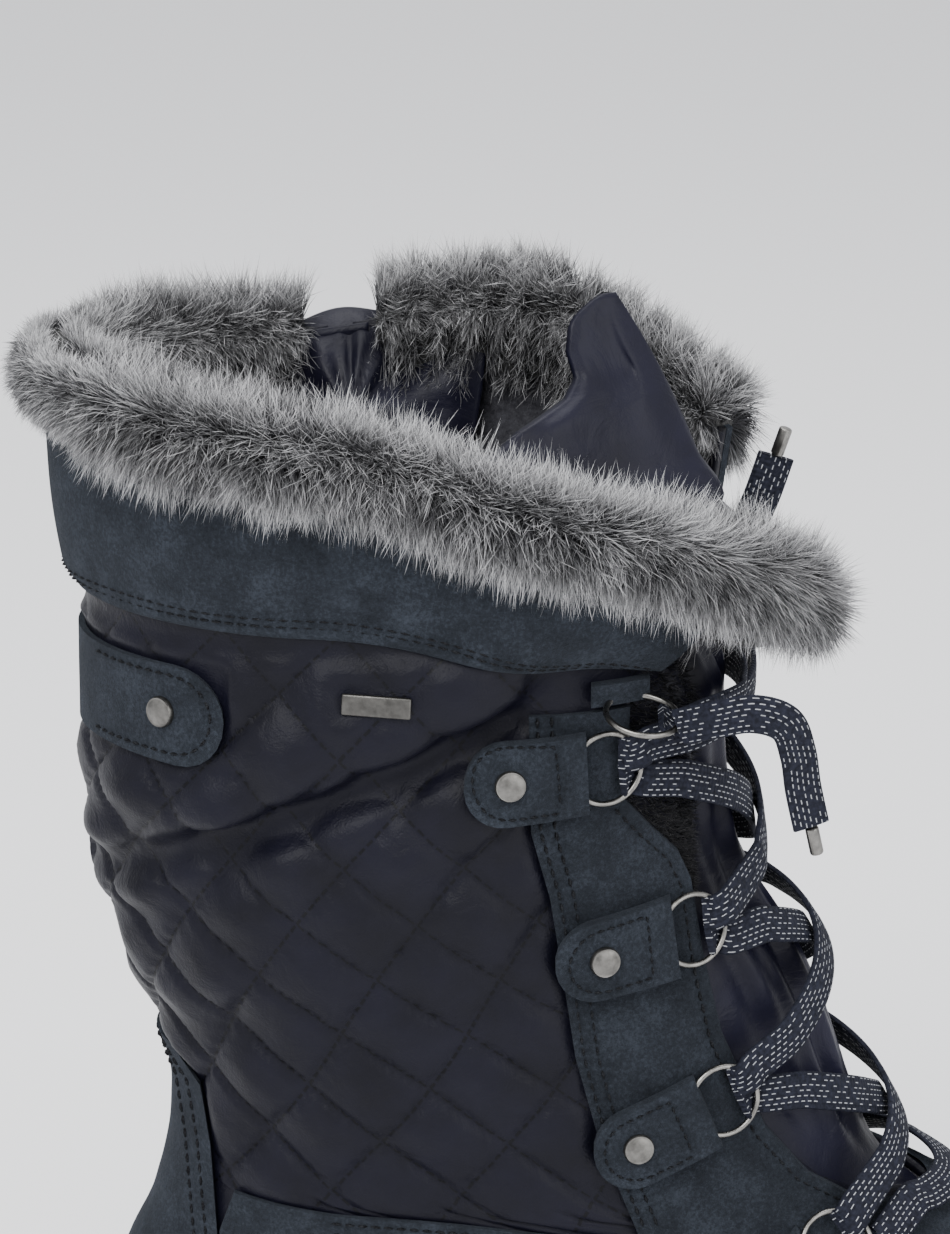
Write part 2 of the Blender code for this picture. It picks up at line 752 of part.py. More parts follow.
def stacked(name, loops, finish):
    """A closed solid from loops round the foot, from the bottom up, with ribbed lids."""
    points = [p for loop in loops for p in loop]
    faces = []
    for level in range(len(loops) - 1):
        for i in range(AROUND):
            after = (i + 1) % AROUND
            base, above = level * AROUND, (level + 1) * AROUND
            faces.append([base + i, base + after, above + after, above + i])
    top = (len(loops) - 1) * AROUND
    for i in range(AROUND // 2):
        j, k = AROUND - i, AROUND - i - 1
        corners = [i, i + 1, k % AROUND, j % AROUND]
        corners = list(dict.fromkeys(corners))
        faces.append([top + c for c in corners])
        faces.append(list(reversed(corners)))
    return add(name, points, faces, finish)


def make_sole():
    """The outsole with its side grooves, arch, toe spring and tread."""
    profile = (
        (0.00, -0.0012),
        (0.10, 0.0),
        (0.36, 0.0),
        (0.40, -SIDE_GROOVE),
        (0.50, -SIDE_GROOVE),
        (0.54, 0.0),
        (0.80, 0.0),
        (0.84, -SIDE_GROOVE / 2),
        (1.00, -SIDE_GROOVE / 2),
    )
    loops = []
    for share, push in profile:
        def height(x, share=share):
            return sole_bottom(x) + share * (sole_top(x) - sole_bottom(x))
        loops.append(outline_loop(SOLE_LEDGE + push, height))
    sole = stacked("outsole", loops, rubber())

    start, end = (at((share, 0.0))[0] for share in (0.335, 0.560))
    arch = []
    for i in range(9):
        share = i / 8
        x = start + (end - start) * share
        arch.append((x, ARCH_RISE * math.sin(math.pi * share ** 0.6) ** 0.7))
    arch = [(start - 0.002, -0.01)] + arch + [(end + 0.004, -0.01)]
    combine(sole, prism("cut_arch", arch, -FAR, FAR), "DIFFERENCE")

    cuts = bmesh.new()
    for x in groove_places():
        place = Matrix.Translation((x, 0.0, sole_bottom(x)))
        size = Matrix.Diagonal((TREAD_GROOVE, 0.3, 2 * TREAD_DEPTH, 1.0))
        bmesh.ops.create_cube(cuts, size=1.0, matrix=place @ size)
    combine(sole, from_bmesh("cut_tread_across", cuts), "DIFFERENCE")
    cuts = bmesh.new()
    for y in (-0.36, 0.36):
        place = Matrix.Translation((HEEL_BACK + 0.5 * LAST_LENGTH, y * BALL_WIDTH / 2, 0.0))
        size = Matrix.Diagonal((1.4 * LAST_LENGTH, TREAD_GROOVE, 1.6 * TREAD_DEPTH, 1.0))
        bmesh.ops.create_cube(cuts, size=1.0, matrix=place @ size)
    combine(sole, from_bmesh("cut_tread_along", cuts), "DIFFERENCE")
    return sole


def groove_places():
    """The x of each groove across the tread, with a wide pad left at the origin."""
    heel = [-1.75 * TREAD_PITCH, -0.75 * TREAD_PITCH, 0.75 * TREAD_PITCH, 1.75 * TREAD_PITCH]
    first = at((0.600, 0.0))[0]
    count = int((at((0.965, 0.0))[0] - first) / TREAD_PITCH) + 1
    return heel + [first + i * TREAD_PITCH for i in range(count)]


def from_bmesh(name, shape):
    mesh = bpy.data.meshes.new(name)
    shape.to_mesh(mesh)
    shape.free()
    made = bpy.data.objects.new(name, mesh)
    bpy.context.scene.collection.objects.link(made)
    return as_guide(made)


def make_insole():
    inset = -WALL - 2.5 * GAP
    low = outline_loop(inset, lambda x: sole_top(x) + 1.5 * GAP)
    high = outline_loop(inset, lambda x: sole_top(x) + 1.5 * GAP + INSOLE_THICKNESS)
    return stacked("insole", [low, high], lining())


def throat_step(t):
    """The u, counted from the back, where the throat's edge crosses a section."""
    edge = sorted((at(spot) for spot in THROAT), key=lambda p: -p[1])
    low, high = AROUND / 4, AROUND / 2
    for _ in range(30):
        u = (low + high) / 2
        point = surface(t, u)
        limit = float(np.interp(-point.z, [-z for _, z in edge], [x for x, _ in edge]))
        low, high = (u, high) if point.x < limit else (low, u)
    return (low + high) / 2


def make_tongue():
    """The gusset behind the laces, from under the vamp to the collar."""
    columns = 9
    middle = AROUND / 2
    outside, inside = [], []
    for height in range(5, TOP + 1):
        edge = min(throat_step(max(height, 7.6)), middle - 1.2)
        run = (surface(height, edge - 1.0) - surface(height, edge)).length
        low = edge - TONGUE_UNDERLAP / run
        row, under = [], []
        for i in range(columns):
            u = low + 2 * (middle - low) * i / (columns - 1)
            inward = min(u, 2 * middle - u) - edge
            bulge = TONGUE_BULGE * smooth(0.4, max(middle - edge, 1.0), inward)
            bulge *= smooth(7.0, 9.5, height)
            back = TONGUE_LEAN * smooth(CUFF_FOOT - 1.2, CUFF_FOOT + 0.9, height)
            out = normal(height, u)
            depth = bulge - back - WALL - 2 * GAP
            point = surface(height, u) + out * depth
            row.append(point)
            under.append(point - out * TONGUE_THICKNESS)
        outside.append(row)
        inside.append(under)
    rims = (outside[-1], inside[-1])
    for share in (0.20, 0.48, 0.74, 0.93):
        for grid, rim in zip((outside, inside), rims):
            grid.append(tongue_row(rim, rims[0][columns // 2], share))
    return slab("tongue", outside, inside, satin())


def tongue_row(rim, centre, share):
    """A row of the tongue's top, drawn in toward its rounded tip."""
    width = (1.0 - share) ** 0.72
    row = []
    for point in rim:
        x = point.x + (TONGUE_TIP_X - centre.x) * share ** 1.15
        x += (centre.x - point.x) * (1.0 - width) * 0.85
        z = point.z + (TONGUE_TIP_Z - centre.z) * share - (point.z - centre.z) * (1.0 - width)
        row.append(Vector((x, TONGUE_TIP_Y * share + point.y * width, z)))
    return row


def fur_profile(size):
    """The fur's section as (out, up) from the rim's outer edge, with the slot for the rim."""
    slot_in, slot_out = -WALL - 3 * GAP, GAP + SUEDE + 3 * GAP
    inner, outer, hang, top = FUR_IN * size, FUR_OUT * size, FUR_HANG * size, FUR_RISE * size
    return (
        (slot_in, 2 * GAP),
        (slot_in, -0.70 * hang),
        (slot_in - 0.45 * inner, -0.85 * hang),
        (slot_in - 0.95 * inner, -0.35 * hang),
        (slot_in - inner, 0.25 * top),
        (slot_in - 0.62 * inner, 0.78 * top),
        (0.10 * outer, top),
        (slot_out + 0.55 * outer, 0.86 * top),
        (slot_out + 0.95 * outer, 0.38 * top),
        (slot_out + outer, -0.25 * hang),
        (slot_out + 0.66 * outer, -0.86 * hang),
        (slot_out, -hang),
        (slot_out, 2 * GAP),
    )


def rim_frame(u):
    """The rim's place, outward direction and upward direction at u, on its straight faces."""
    low = math.floor(u)
    share = u - low
    place, out, rise = (Vector(), Vector(), Vector())
    for step, weight in ((low, 1.0 - share), (low + 1, share)):
        place += weight * surface(TOP, step)
        out += weight * normal(TOP, step)
        rise += weight * (surface(TOP, step) - surface(TOP - 1, step)).normalized()
    return place, out.normalized(), rise.normalized()


def make_fur(name, start, end, nose):
    """A fur roll along the rim from one u to another, drawn out past the rim by any nose."""
    if end > start:
        stations = [start] + list(range(math.ceil(start + 0.3), math.floor(end - 0.3) + 1)) + [end]
    else:
        stations = [start] + list(range(math.floor(start - 0.3), math.ceil(end + 0.3) - 1, -1)) + [end]
    frames = [(*rim_frame(u), 1.0) for u in stations]
    place, out, rise, _ = frames[-1]
    ahead = ((frames[-1][0] - frames[-2][0]).normalized() + FUR_TURN * out).normalized()
    beyond = 0.35 * math.copysign(1.0, end - start)
    frames.insert(0, (*rim_frame(start - beyond), 0.72))
    for share, size in ((0.35, 1.10), (0.75, 1.05), (1.0, 0.60)) if nose else ():
        droop = Vector((0.0, 0.0, -FUR_DROOP * nose * share * share))
        frames.append((place + ahead * nose * share + droop, out, rise, size))
    if not nose:
        frames.append((*rim_frame(end + beyond), 0.72))
    loops = []
    for place, out, rise, size in frames:
        loops.append([place + out * away + rise * up for away, up in fur_profile(size)])
    return rolled(name, loops)


def rolled(name, loops):
    """The fur's solid with a lock raised on each of its faces outside the slot."""
    count = len(loops[0])
    points = [p for loop in loops for p in loop]
    shape = bmesh.new()
    corners = [shape.verts.new(p) for p in points]
    hairy = []
    for level in range(len(loops) - 1):
        for i in range(count):
            after = (i + 1) % count
            base, above = level * count, (level + 1) * count
            quad = (base + i, base + after, above + after, above + i)
            face = shape.faces.new([corners[k] for k in quad])
            if 1 <= i <= count - 3:
                hairy.append(face)
    shape.faces.new([corners[i] for i in reversed(range(count))])
    shape.faces.new([corners[(len(loops) - 1) * count + i] for i in range(count)])
    bmesh.ops.recalc_face_normals(shape, faces=shape.faces[:])
    poked = bmesh.ops.poke(shape, faces=hairy)
    for index, tip in enumerate(poked["verts"]):
        wave = 0.65 + 0.35 * math.sin(2.4 * index)
        lean = Vector((0.0, 0.0, -0.35 if index % 2 else 0.25))
        out = tip.normal.normalized() if tip.normal.length else Vector((0.0, 0.0, 1.0))
        tip.co += (out + lean * 0.5) * FUR_LOCK * wave
    bmesh.ops.recalc_face_normals(shape, faces=shape.faces[:])
    mesh = bpy.data.meshes.new(name)
    shape.to_mesh(mesh)
    shape.free()
    mesh.materials.append(fur())
    made = bpy.data.objects.new(name, mesh)
    bpy.context.scene.collection.objects.link(made)
    return made


def step_at(x, side):
    """The u where the rim passes x, on one side."""
    low, high = 0.5, AROUND / 2 - 0.3
    for _ in range(30):
        u = (low + high) / 2
        low, high = (u, high) if surface(TOP, u if side < 0 else -u).x < x else (low, u)
    return u if side < 0 else -u


def make_furs():
    split = ZIP_X
    throat = at(THROAT[1])[0]
    end_outer = step_at(throat + 5 * GAP, -1)
    end_inner = step_at(throat - FUR_SHORT, 1)
    make_fur("fur_outer", step_at(split - FUR_SPLIT, 1), end_outer, 0.016)
    make_fur("fur_inner", step_at(split + FUR_SPLIT, 1), end_inner, 0.0)


def ribbon(name, path, outs, width, thickness, finish):
    """A flat band along a path, with its face toward each outward direction."""
    loops = []
    for i, place in enumerate(path):
        before, after = path[max(i - 1, 0)], path[min(i + 1, len(path) - 1)]
        run = (after - before).normalized()
        out = (outs[i] - run * outs[i].dot(run)).normalized()
        across = run.cross(out)
        half, thick = across * width / 2, out * thickness / 2
        loops.append([place - half - thick, place + half - thick, place + half + thick, place - half + thick])
    points = [p for loop in loops for p in loop]
    faces = [[3, 2, 1, 0], [len(points) - 4 + i for i in range(4)]]
    for level in range(len(loops) - 1):
        for i in range(4):
            after = (i + 1) % 4
            base = level * 4
            faces.append([base + i, base + after, base + 4 + after, base + 4 + i])
    shape = add(name, points, faces, finish, 40.0)
    fix = bmesh.new()
    fix.from_mesh(shape.data)
    bmesh.ops.recalc_face_normals(fix, faces=fix.faces[:])
    fix.to_mesh(shape.data)
    fix.free()
    return shape


def lace_run(name, start, end, lift, steps=9):
    """A flat lace between two points beside rings, close over the front in between."""
    spots = []
    for point in (start, end):
        t, u = find(point.x, point.z, math.copysign(1.0, point.y))
        spots.append((t, u, (point - surface(t, u)).dot(normal(t, u))))
    path, outs = [], []
    for i in range(steps):
        share = i / (steps - 1)
        t, u, rise = (a + (b - a) * share for a, b in zip(*spots))
        middle = math.sin(math.pi * share) ** 0.8
        path.append(surface(t, u) + normal(t, u) * (rise + (lift - rise) * middle))
        outs.append(normal(t, u))
    path[0], path[-1] = start, end
    return ribbon(name, path, outs, LACE_WIDTH, LACE_THICKNESS, lace_cloth())


def ring_exit(fastening, side, shift):
    """A point just outside a ring where a lace leaves it, shifted along the ring."""
    place = ring_place(fastening, side, tab_seat(fastening))[1]
    away = Vector((1.0, 0.0, 0.0))
    if not fastening.rivet:
        away = place.to_3x3().transposed() @ away
        away = Vector((away.x, away.y, 0.0)).normalized()
    along_ring = Vector((-away.y, away.x, 0.0))
    if (place.to_3x3() @ along_ring).z < 0.0:
        along_ring = -along_ring
    reach = RING_RADIUS + RING_WIRE / 2 + 2 * GAP
    return place @ (away * reach + along_ring * shift)


def make_laces():
    """Four crossings and the bar at the foot of the lacing."""
    apart = 0.515 * LACE_WIDTH
    for high, low in zip(FASTENINGS, FASTENINGS[1:]):
        name = f"lace_crossing_{high.name}"
        down = apart if high.rivet else 0.0
        starts = [ring_exit(high, side, -down) for side in (-1, 1)]
        ends = [ring_exit(low, side, apart) for side in (-1, 1)]
        under = lace_run(name, starts[0], ends[1], LACE_STAND_OFF)
        over = lace_run(f"join_{name}", starts[1], ends[0], LACE_STAND_OFF + 0.5 * LACE_THICKNESS)
        combine(under, over, "UNION")
    sides = [ring_exit(FASTENINGS[-1], side, -1.22 * apart) for side in (-1, 1)]
    lace_run("lace_bar", sides[0], sides[1], LACE_STAND_OFF)


def tube(name, route, radius, finish):
    """A round cord along a smooth curve through its route's points."""
    count = max(6, int(sum((b - a).length for a, b in zip(route, route[1:])) / (5 * radius)))
    curve = bpy.data.curves.new(name, "CURVE")
    curve.dimensions = "3D"
    curve.bevel_depth = radius
    curve.bevel_resolution = 2
    curve.use_fill_caps = True
    line = curve.splines.new("POLY")
    line.points.add(count)
    for i in range(count + 1):
        place = cubic([tuple(p) for p in route], (len(route) - 1) * i / count)
        line.points[i].co = (*place, 1.0)
    curve.materials.append(finish)
    made = bpy.data.objects.new(name, curve)
    bpy.context.scene.collection.objects.link(made)
    return made


# The free ends' routes, as steps from the top ring: forward, toward the front's middle, and up.
Step = namedtuple("Step", "forward inward up")
OUTER_END = (
    Step(-0.0016, 0.000, 0.000),
    Step(0.0060, -0.004, 0.003),
    Step(0.0140, -0.006, 0.005),
    Step(0.0210, -0.004, 0.002),
    Step(0.0240, 0.000, -0.006),
    Step(0.0255, 0.003, -0.015),
    Step(0.0275, 0.004, -0.024),
)
INNER_END = (
    Step(0.000, 0.000, 0.000),
    Step(0.0065, 0.007, 0.007),
    Step(0.011, 0.020, 0.015),
    Step(0.014, 0.031, 0.022),
    Step(0.018, 0.035, 0.032),
    Step(0.0215, 0.036, 0.043),
)


def lace_end_route(side):
    """Each free end's points, from the top ring outward, in metres."""
    start = ring_exit(FASTENINGS[0], side, 0.0) + Vector((0.0, side * LACE_END_ASIDE, 0.0))
    steps = OUTER_END if side < 0 else INNER_END
    return [start + Vector((step.forward, -side * step.inward, step.up)) for step in steps]


def make_lace_ends():
    for side, label in ((-1, "outer"), (1, "inner")):
        route = lace_end_route(side)
        tube(f"lace_end_{label}", route, LACE_END_TUBE, lace_cloth())
        run = (route[-1] - route[-2]).normalized()
        start = route[-1] + run * 1.2 * GAP
        tube(f"aglet_{label}", [start, start + run * AGLET_LENGTH], AGLET_RADIUS, nickel())


def make_zip():
    """The tape with its teeth, behind the slot in the inner side, and the slider with its pull."""
    foot, top = zip_foot(), SOLE_HEEL + 0.985 * UPPER_HEIGHT
    behind = -WALL - 1.5 * GAP
    tape = shell("zip_tape", 6, TOP, behind - ZIP_TAPE_THICKNESS, behind, satin())
    sides = (ZIP_X - ZIP_TAPE / 2, ZIP_X + ZIP_TAPE / 2)
    tape_box = block("cut_zip_tape", (sides[0], 0.0, foot - 0.006), (sides[1], FAR, top + 0.05))
    combine(tape, tape_box, "INTERSECT")
    teeth = shell("join_zip_teeth", 6, TOP, behind - 0.0004, -3 * GAP, None)
    teeth_sides = (ZIP_X - ZIP_TEETH / 2, ZIP_X + ZIP_TEETH / 2)
    box = block("cut_zip_teeth", (teeth_sides[0], 0.0, foot + GAP), (teeth_sides[1], FAR, top + 0.05))
    combine(teeth, box, "INTERSECT")
    combine(tape, teeth, "UNION")


def slider_place():
    t, u = find(ZIP_X, SOLE_HEEL + 0.845 * UPPER_HEIGHT, 1)
    point = facet(t, u)
    return Vector((ZIP_X, point.y + 2 * GAP, point.z))


def make_slider():
    """The slider with its bail, and the pull tab that hangs on the bail."""
    x, y, z = slider_place()
    low = (x - SLIDER_WIDTH / 2, y, z - SLIDER_HEIGHT / 2)
    high = (x + SLIDER_WIDTH / 2, y + SLIDER_THICKNESS, z + SLIDER_HEIGHT / 2)
    body = block("zip_slider", low, high)
    body.hide_render = False
    body.display_type = "TEXTURED"
    body.data.materials.append(nickel())
    arch = bail_arch(x, high[1], z)
    combine(body, arch, "UNION")
    make_pull(x, high[1], z)


def bail_arch(x, y, z):
    """The bail: a small arch of square wire that stands on the slider's face, in the YZ plane."""
    wire, clear = BAIL_WIRE, BAIL_CLEAR
    half = 0.0032
    points = [
        (y - 0.0004, z + half + wire), (y + clear + 2 * wire, z + half + wire),
        (y + clear + 2 * wire, z - half - wire), (y - 0.0004, z - half - wire),
        (y - 0.0004, z - half + wire), (y + clear, z - half + wire),
        (y + clear, z + half - wire), (y - 0.0004, z + half - wire),
    ]
    verts = [(x - wire, a, b) for a, b in points] + [(x + wire, a, b) for a, b in points]
    count = len(points)
    faces = [list(range(count)), list(range(2 * count - 1, count - 1, -1))]
    faces += [[i, i + count, (i + 1) % count + count, (i + 1) % count] for i in range(count)]
    return fixed(add("join_bail", verts, faces, None))


def fixed(thing):
    """The same object with its faces turned outward."""
    shape = bmesh.new()
    shape.from_mesh(thing.data)
    bmesh.ops.recalc_face_normals(shape, faces=shape.faces[:])
    shape.to_mesh(thing.data)
    shape.free()
    return thing


def make_pull(x, y, z):
    """The pull tab, a plate with a square eye round the bail's outer bar's lower part."""
    wire, clear = BAIL_WIRE, BAIL_CLEAR
    inner, outer = PULL_HOLE / 2, PULL_WIDTH / 2
    axis_y, axis_z = y + clear / 2, z - 0.0032 + wire + 0.0009
    half = PULL_THICKNESS / 2
    low = (x - outer, axis_y - half, axis_z - PULL_LENGTH)
    high = (x + outer, axis_y + half, axis_z + 0.0009)
    plate = block("zip_pull_tab", low, high)
    plate.hide_render = False
    plate.display_type = "TEXTURED"
    plate.data.materials.append(nickel())
    eye_low = (x - inner, axis_y - PULL_WIDTH, axis_z - 0.0056)
    eye_high = (x + inner, axis_y + PULL_WIDTH, axis_z - 0.0006)
    combine(plate, block("cut_pull_eye", eye_low, eye_high), "DIFFERENCE")


def clear_scene():
    for thing in list(bpy.data.objects):
        bpy.data.objects.remove(thing, do_unlink=True)


def main():
    clear_scene()
    make_sole()
    make_insole()
    make_upper()
    make_tongue()
    make_foot_overlays()
    make_eyestays()
    make_cuffs()
    make_back_strap()
    make_fastenings()
    make_strap_rivets()
    make_plate()
    make_furs()
    make_laces()
    make_lace_ends()
    make_zip()
    make_slider()


main()
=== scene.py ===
"""Apres ski boot: surfaces, fur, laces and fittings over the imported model."""

import math
from collections import namedtuple

import bpy
import numpy as np
from bpy.props import FloatProperty, FloatVectorProperty, IntProperty, PointerProperty
from mathutils import Matrix, Vector


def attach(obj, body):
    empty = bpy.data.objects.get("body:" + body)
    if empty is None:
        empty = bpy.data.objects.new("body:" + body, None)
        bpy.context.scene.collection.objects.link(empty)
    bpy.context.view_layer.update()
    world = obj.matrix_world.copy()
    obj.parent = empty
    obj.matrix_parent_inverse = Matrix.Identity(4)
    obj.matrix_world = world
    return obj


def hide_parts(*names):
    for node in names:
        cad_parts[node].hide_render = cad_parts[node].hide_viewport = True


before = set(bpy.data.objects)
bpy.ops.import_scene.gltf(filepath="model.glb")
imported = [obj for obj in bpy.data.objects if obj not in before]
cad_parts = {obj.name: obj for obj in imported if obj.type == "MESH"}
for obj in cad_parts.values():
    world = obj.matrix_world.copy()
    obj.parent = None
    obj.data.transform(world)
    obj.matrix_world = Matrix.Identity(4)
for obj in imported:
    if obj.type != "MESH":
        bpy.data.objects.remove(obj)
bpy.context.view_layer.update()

bl_info = {
    "name": "Apres ski boot",
    "version": (1, 0, 0),
    "blender": (4, 5, 0),
    "location": "View3D > Sidebar > Boot",
    "description": "Builds a laced winter boot with a quilted shaft and a fur collar",
    "category": "Add Mesh",
}

# Sizes in metres, the same as in the model.
LAST_LENGTH = 0.264
BALL_WIDTH = 0.094
HEEL_BACK = -0.042
TOE_SWING = 0.006
SOLE_HEEL = 0.034
SOLE_BALL = 0.023
TOE_SPRING = 0.009
SOLE_LEDGE = 0.0036
SIDE_GROOVE = 0.0014
ARCH_RISE = 0.009
TREAD_DEPTH = 0.004
TREAD_GROOVE = 0.0036
TREAD_PITCH = 0.0145
UPPER_HEIGHT = 0.230
WALL = 0.0024
COLLAR_TWIST = 0.019
COLLAR_DIP = 0.0135
CREASE_DEPTH = 0.0038
CREASE_SWELL = 0.0042
CREASE_WIDTH = 0.007
GAP = 0.0003
SUEDE = 0.0015
TAB_THICKNESS = 0.0030
TONGUE_THICKNESS = 0.0022
TONGUE_UNDERLAP = 0.009
TONGUE_BULGE = 0.0030
TONGUE_LEAN = 0.0178
FUR_HANG = 0.0082
FUR_RISE = 0.0112
FUR_OUT = 0.0098
FUR_IN = 0.0095
FUR_SPLIT = 0.0138
FUR_DROOP = 0.40
FUR_SHORT = 0.010
FUR_TURN = 0.45
RING_RADIUS = 0.0080
RING_WIRE = 0.0013
RING_SEAT = 0.0020
TAB_OVER_RING = 0.0046
TAB_HEIGHT = 0.0180
RIVET_RADIUS = 0.0035
RIVET_HEIGHT = 0.0017
PLATE_LENGTH = 0.0150
PLATE_HEIGHT = 0.0047
PLATE_THICKNESS = 0.0012
LACE_WIDTH = 0.0085
LACE_THICKNESS = 0.0018
LACE_STAND_OFF = 0.0048
LACE_END_ASIDE = 0.0045
AGLET_LENGTH = 0.0065
ZIP_X = 0.012
ZIP_SLOT = 0.0058
ZIP_TAPE = 0.013
ZIP_FOOT = 0.300
ZIP_GAP_IN_CUFF = 0.0125
AROUND = 28
FAR = 0.20

Section = namedtuple(
    "Section",
    "back_x back_z front_x front_z half_width foot sole back_round front_round",
)
SECTIONS = (
    Section(0.000, 0.000, 1.000, 0.000, 1.00, 1.00, 1.00, 0.14, 0.24),
    Section(-0.008, 0.043, 1.006, 0.039, 1.02, 1.00, 0.75, 0.14, 0.24),
    Section(-0.008, 0.091, 0.992, 0.087, 1.01, 1.00, 0.45, 0.15, 0.27),
    Section(0.004, 0.139, 0.955, 0.130, 0.97, 0.95, 0.20, 0.17, 0.34),
    Section(0.023, 0.183, 0.890, 0.165, 0.93, 0.85, 0.06, 0.19, 0.44),
    Section(0.042, 0.217, 0.814, 0.191, 0.89, 0.70, 0.00, 0.22, 0.50),
    Section(0.051, 0.248, 0.750, 0.217, 0.87, 0.55, 0.00, 0.24, 0.52),
    Section(0.057, 0.274, 0.703, 0.252, 0.85, 0.40, 0.00, 0.26, 0.52),
    Section(0.062, 0.304, 0.667, 0.304, 0.84, 0.28, 0.00, 0.28, 0.50),
    Section(0.064, 0.335, 0.640, 0.370, 0.83, 0.15, 0.00, 0.30, 0.48),
    Section(0.064, 0.365, 0.619, 0.435, 0.83, 0.06, 0.00, 0.32, 0.46),
    Section(0.057, 0.400, 0.593, 0.500, 0.84, 0.00, 0.00, 0.34, 0.46),
    Section(0.038, 0.457, 0.561, 0.561, 0.87, 0.00, 0.00, 0.36, 0.46),
    Section(0.019, 0.522, 0.542, 0.617, 0.91, 0.00, 0.00, 0.38, 0.46),
    Section(0.000, 0.594, 0.534, 0.678, 0.94, 0.00, 0.00, 0.38, 0.46),
    Section(-0.006, 0.681, 0.530, 0.737, 0.95, 0.00, 0.00, 0.38, 0.46),
    Section(-0.006, 0.775, 0.530, 0.795, 0.95, 0.00, 0.00, 0.38, 0.46),
    Section(-0.006, 0.876, 0.536, 0.870, 0.96, 0.00, 0.00, 0.38, 0.46),
    Section(-0.014, 0.904, 0.553, 0.892, 0.98, 0.00, 0.00, 0.38, 0.46),
    Section(-0.022, 0.974, 0.576, 0.928, 1.02, 0.00, 0.00, 0.38, 0.46),
    Section(-0.025, 1.082, 0.591, 0.991, 1.02, 0.00, 0.00, 0.38, 0.46),
)
TOP = len(SECTIONS) - 1
CUFF_FOOT = 17
TWIST_FOOT = 12.0
DIP_FOOT = 14.5

FootWidth = namedtuple("FootWidth", "outer inner")
FOOT_WIDTHS = (
    FootWidth(0.62, 0.62),
    FootWidth(0.66, 0.66),
    FootWidth(0.68, 0.66),
    FootWidth(0.71, 0.63),
    FootWidth(0.79, 0.64),
    FootWidth(0.90, 0.74),
    FootWidth(0.98, 0.89),
    FootWidth(1.01, 1.00),
    FootWidth(1.00, 1.02),
    FootWidth(0.93, 0.99),
    FootWidth(0.84, 0.94),
)

# Lines drawn on the side view, as shares of the length and of the upper's height.
Spot = namedtuple("Spot", "x z")
CREASE = (Spot(0.008, 0.610), Spot(0.393, 0.815))
THROAT = (
    Spot(0.536, 1.300),
    Spot(0.536, 0.991),
    Spot(0.525, 0.905),
    Spot(0.505, 0.866),
    Spot(0.478, 0.836),
    Spot(0.449, 0.808),
    Spot(0.445, 0.696),
    Spot(0.468, 0.662),
    Spot(0.490, 0.632),
    Spot(0.502, 0.600),
    Spot(0.513, 0.526),
    Spot(0.529, 0.448),
    Spot(0.568, 0.346),
    Spot(0.606, 0.291),
    Spot(0.655, 0.252),
    Spot(0.710, 0.238),
    Spot(0.760, 0.250),
)
EYESTAY_BACK = (
    Spot(0.365, 0.790),
    Spot(0.367, 0.678),
    Spot(0.383, 0.609),
    Spot(0.393, 0.535),
    Spot(0.405, 0.443),
    Spot(0.427, 0.348),
    Spot(0.460, 0.254),
)
EYESTAY_FOOT = (
    Spot(0.520, 0.245),
    Spot(0.590, 0.225),
    Spot(0.634, 0.203),
)
QUARTER_TOP = (
    Spot(0.116, 0.276),
    Spot(0.200, 0.268),
    Spot(0.310, 0.262),
    Spot(0.460, 0.248),
    Spot(0.520, 0.239),
    Spot(0.590, 0.219),
    Spot(0.632, 0.197),
)
VAMP_SEAM = (
    Spot(0.664, 0.300),
    Spot(0.642, 0.215),
    Spot(0.628, 0.150),
    Spot(0.596, 0.070),
    Spot(0.572, -0.100),
)
COUNTER_EDGE = (
    Spot(0.061, 0.412),
    Spot(0.087, 0.378),
    Spot(0.095, 0.317),
    Spot(0.100, 0.230),
    Spot(0.106, 0.113),
    Spot(0.114, -0.100),
)
STRAP_TOP = 0.832
STRAP_FOOT = 0.738
STRAP_END = 0.117

Fastening = namedtuple("Fastening", "name bar_x bar_z tilt turn reach rivet")
PLATE_AT = Spot(0.242, 0.815)
FASTENINGS = (
    Fastening("a", 0.440, 0.806, -90.0, 78.0, 0.0028, False),
    Fastening("b", 0.396, 0.733, 3.0, 0.0, 0.0132, True),
    Fastening("c", 0.471, 0.552, 8.0, 0.0, 0.0132, True),
    Fastening("d", 0.501, 0.371, 22.0, 0.0, 0.0132, True),
    Fastening("e", 0.604, 0.206, 42.0, 8.0, 0.0132, True),
)

# The free ends' routes, as steps from the top ring: forward, toward the front's middle, and up.
Step = namedtuple("Step", "forward inward up")
OUTER_END = (
    Step(-0.0016, 0.000, 0.000),
    Step(0.0060, -0.004, 0.003),
    Step(0.0140, -0.006, 0.005),
    Step(0.0210, -0.004, 0.002),
    Step(0.0240, 0.000, -0.006),
    Step(0.0255, 0.003, -0.015),
    Step(0.0275, 0.004, -0.024),
)
INNER_END = (
    Step(0.000, 0.000, 0.000),
    Step(0.0065, 0.007, 0.007),
    Step(0.011, 0.020, 0.015),
    Step(0.014, 0.031, 0.022),
    Step(0.018, 0.035, 0.032),
    Step(0.0215, 0.036, 0.043),
)

# The quilting's diamonds, their width and height in metres, and one crossing of their lines.
DIAMOND_WIDTH = 0.0260
DIAMOND_HEIGHT = 0.0269
DIAMOND_AT = (0.0021, 0.1683)
QUILT_HOME = 14.0

LINING_OPEN = 0.0075
LINING_THICKNESS = 0.0006
EYESTAY_WAVE = 0.00012
STRAP_SEAM_IN = 0.002
TAB_SEAM_IN = 0.0017
RIB_PITCH = 0.0052
RIB_DEPTH = 0.0005
FLEECE_HAIRS = 4800
FLEECE_LENGTH = 0.0042
FLEECE_WIDTH = 0.00028
HAIR_WIDTH = 0.00026
AGLET_RADIUS = 0.0015
AGLET_BEVEL = 0.0004
PLATE_BEVEL = 0.00045
TEETH_PITCH = 0.0017

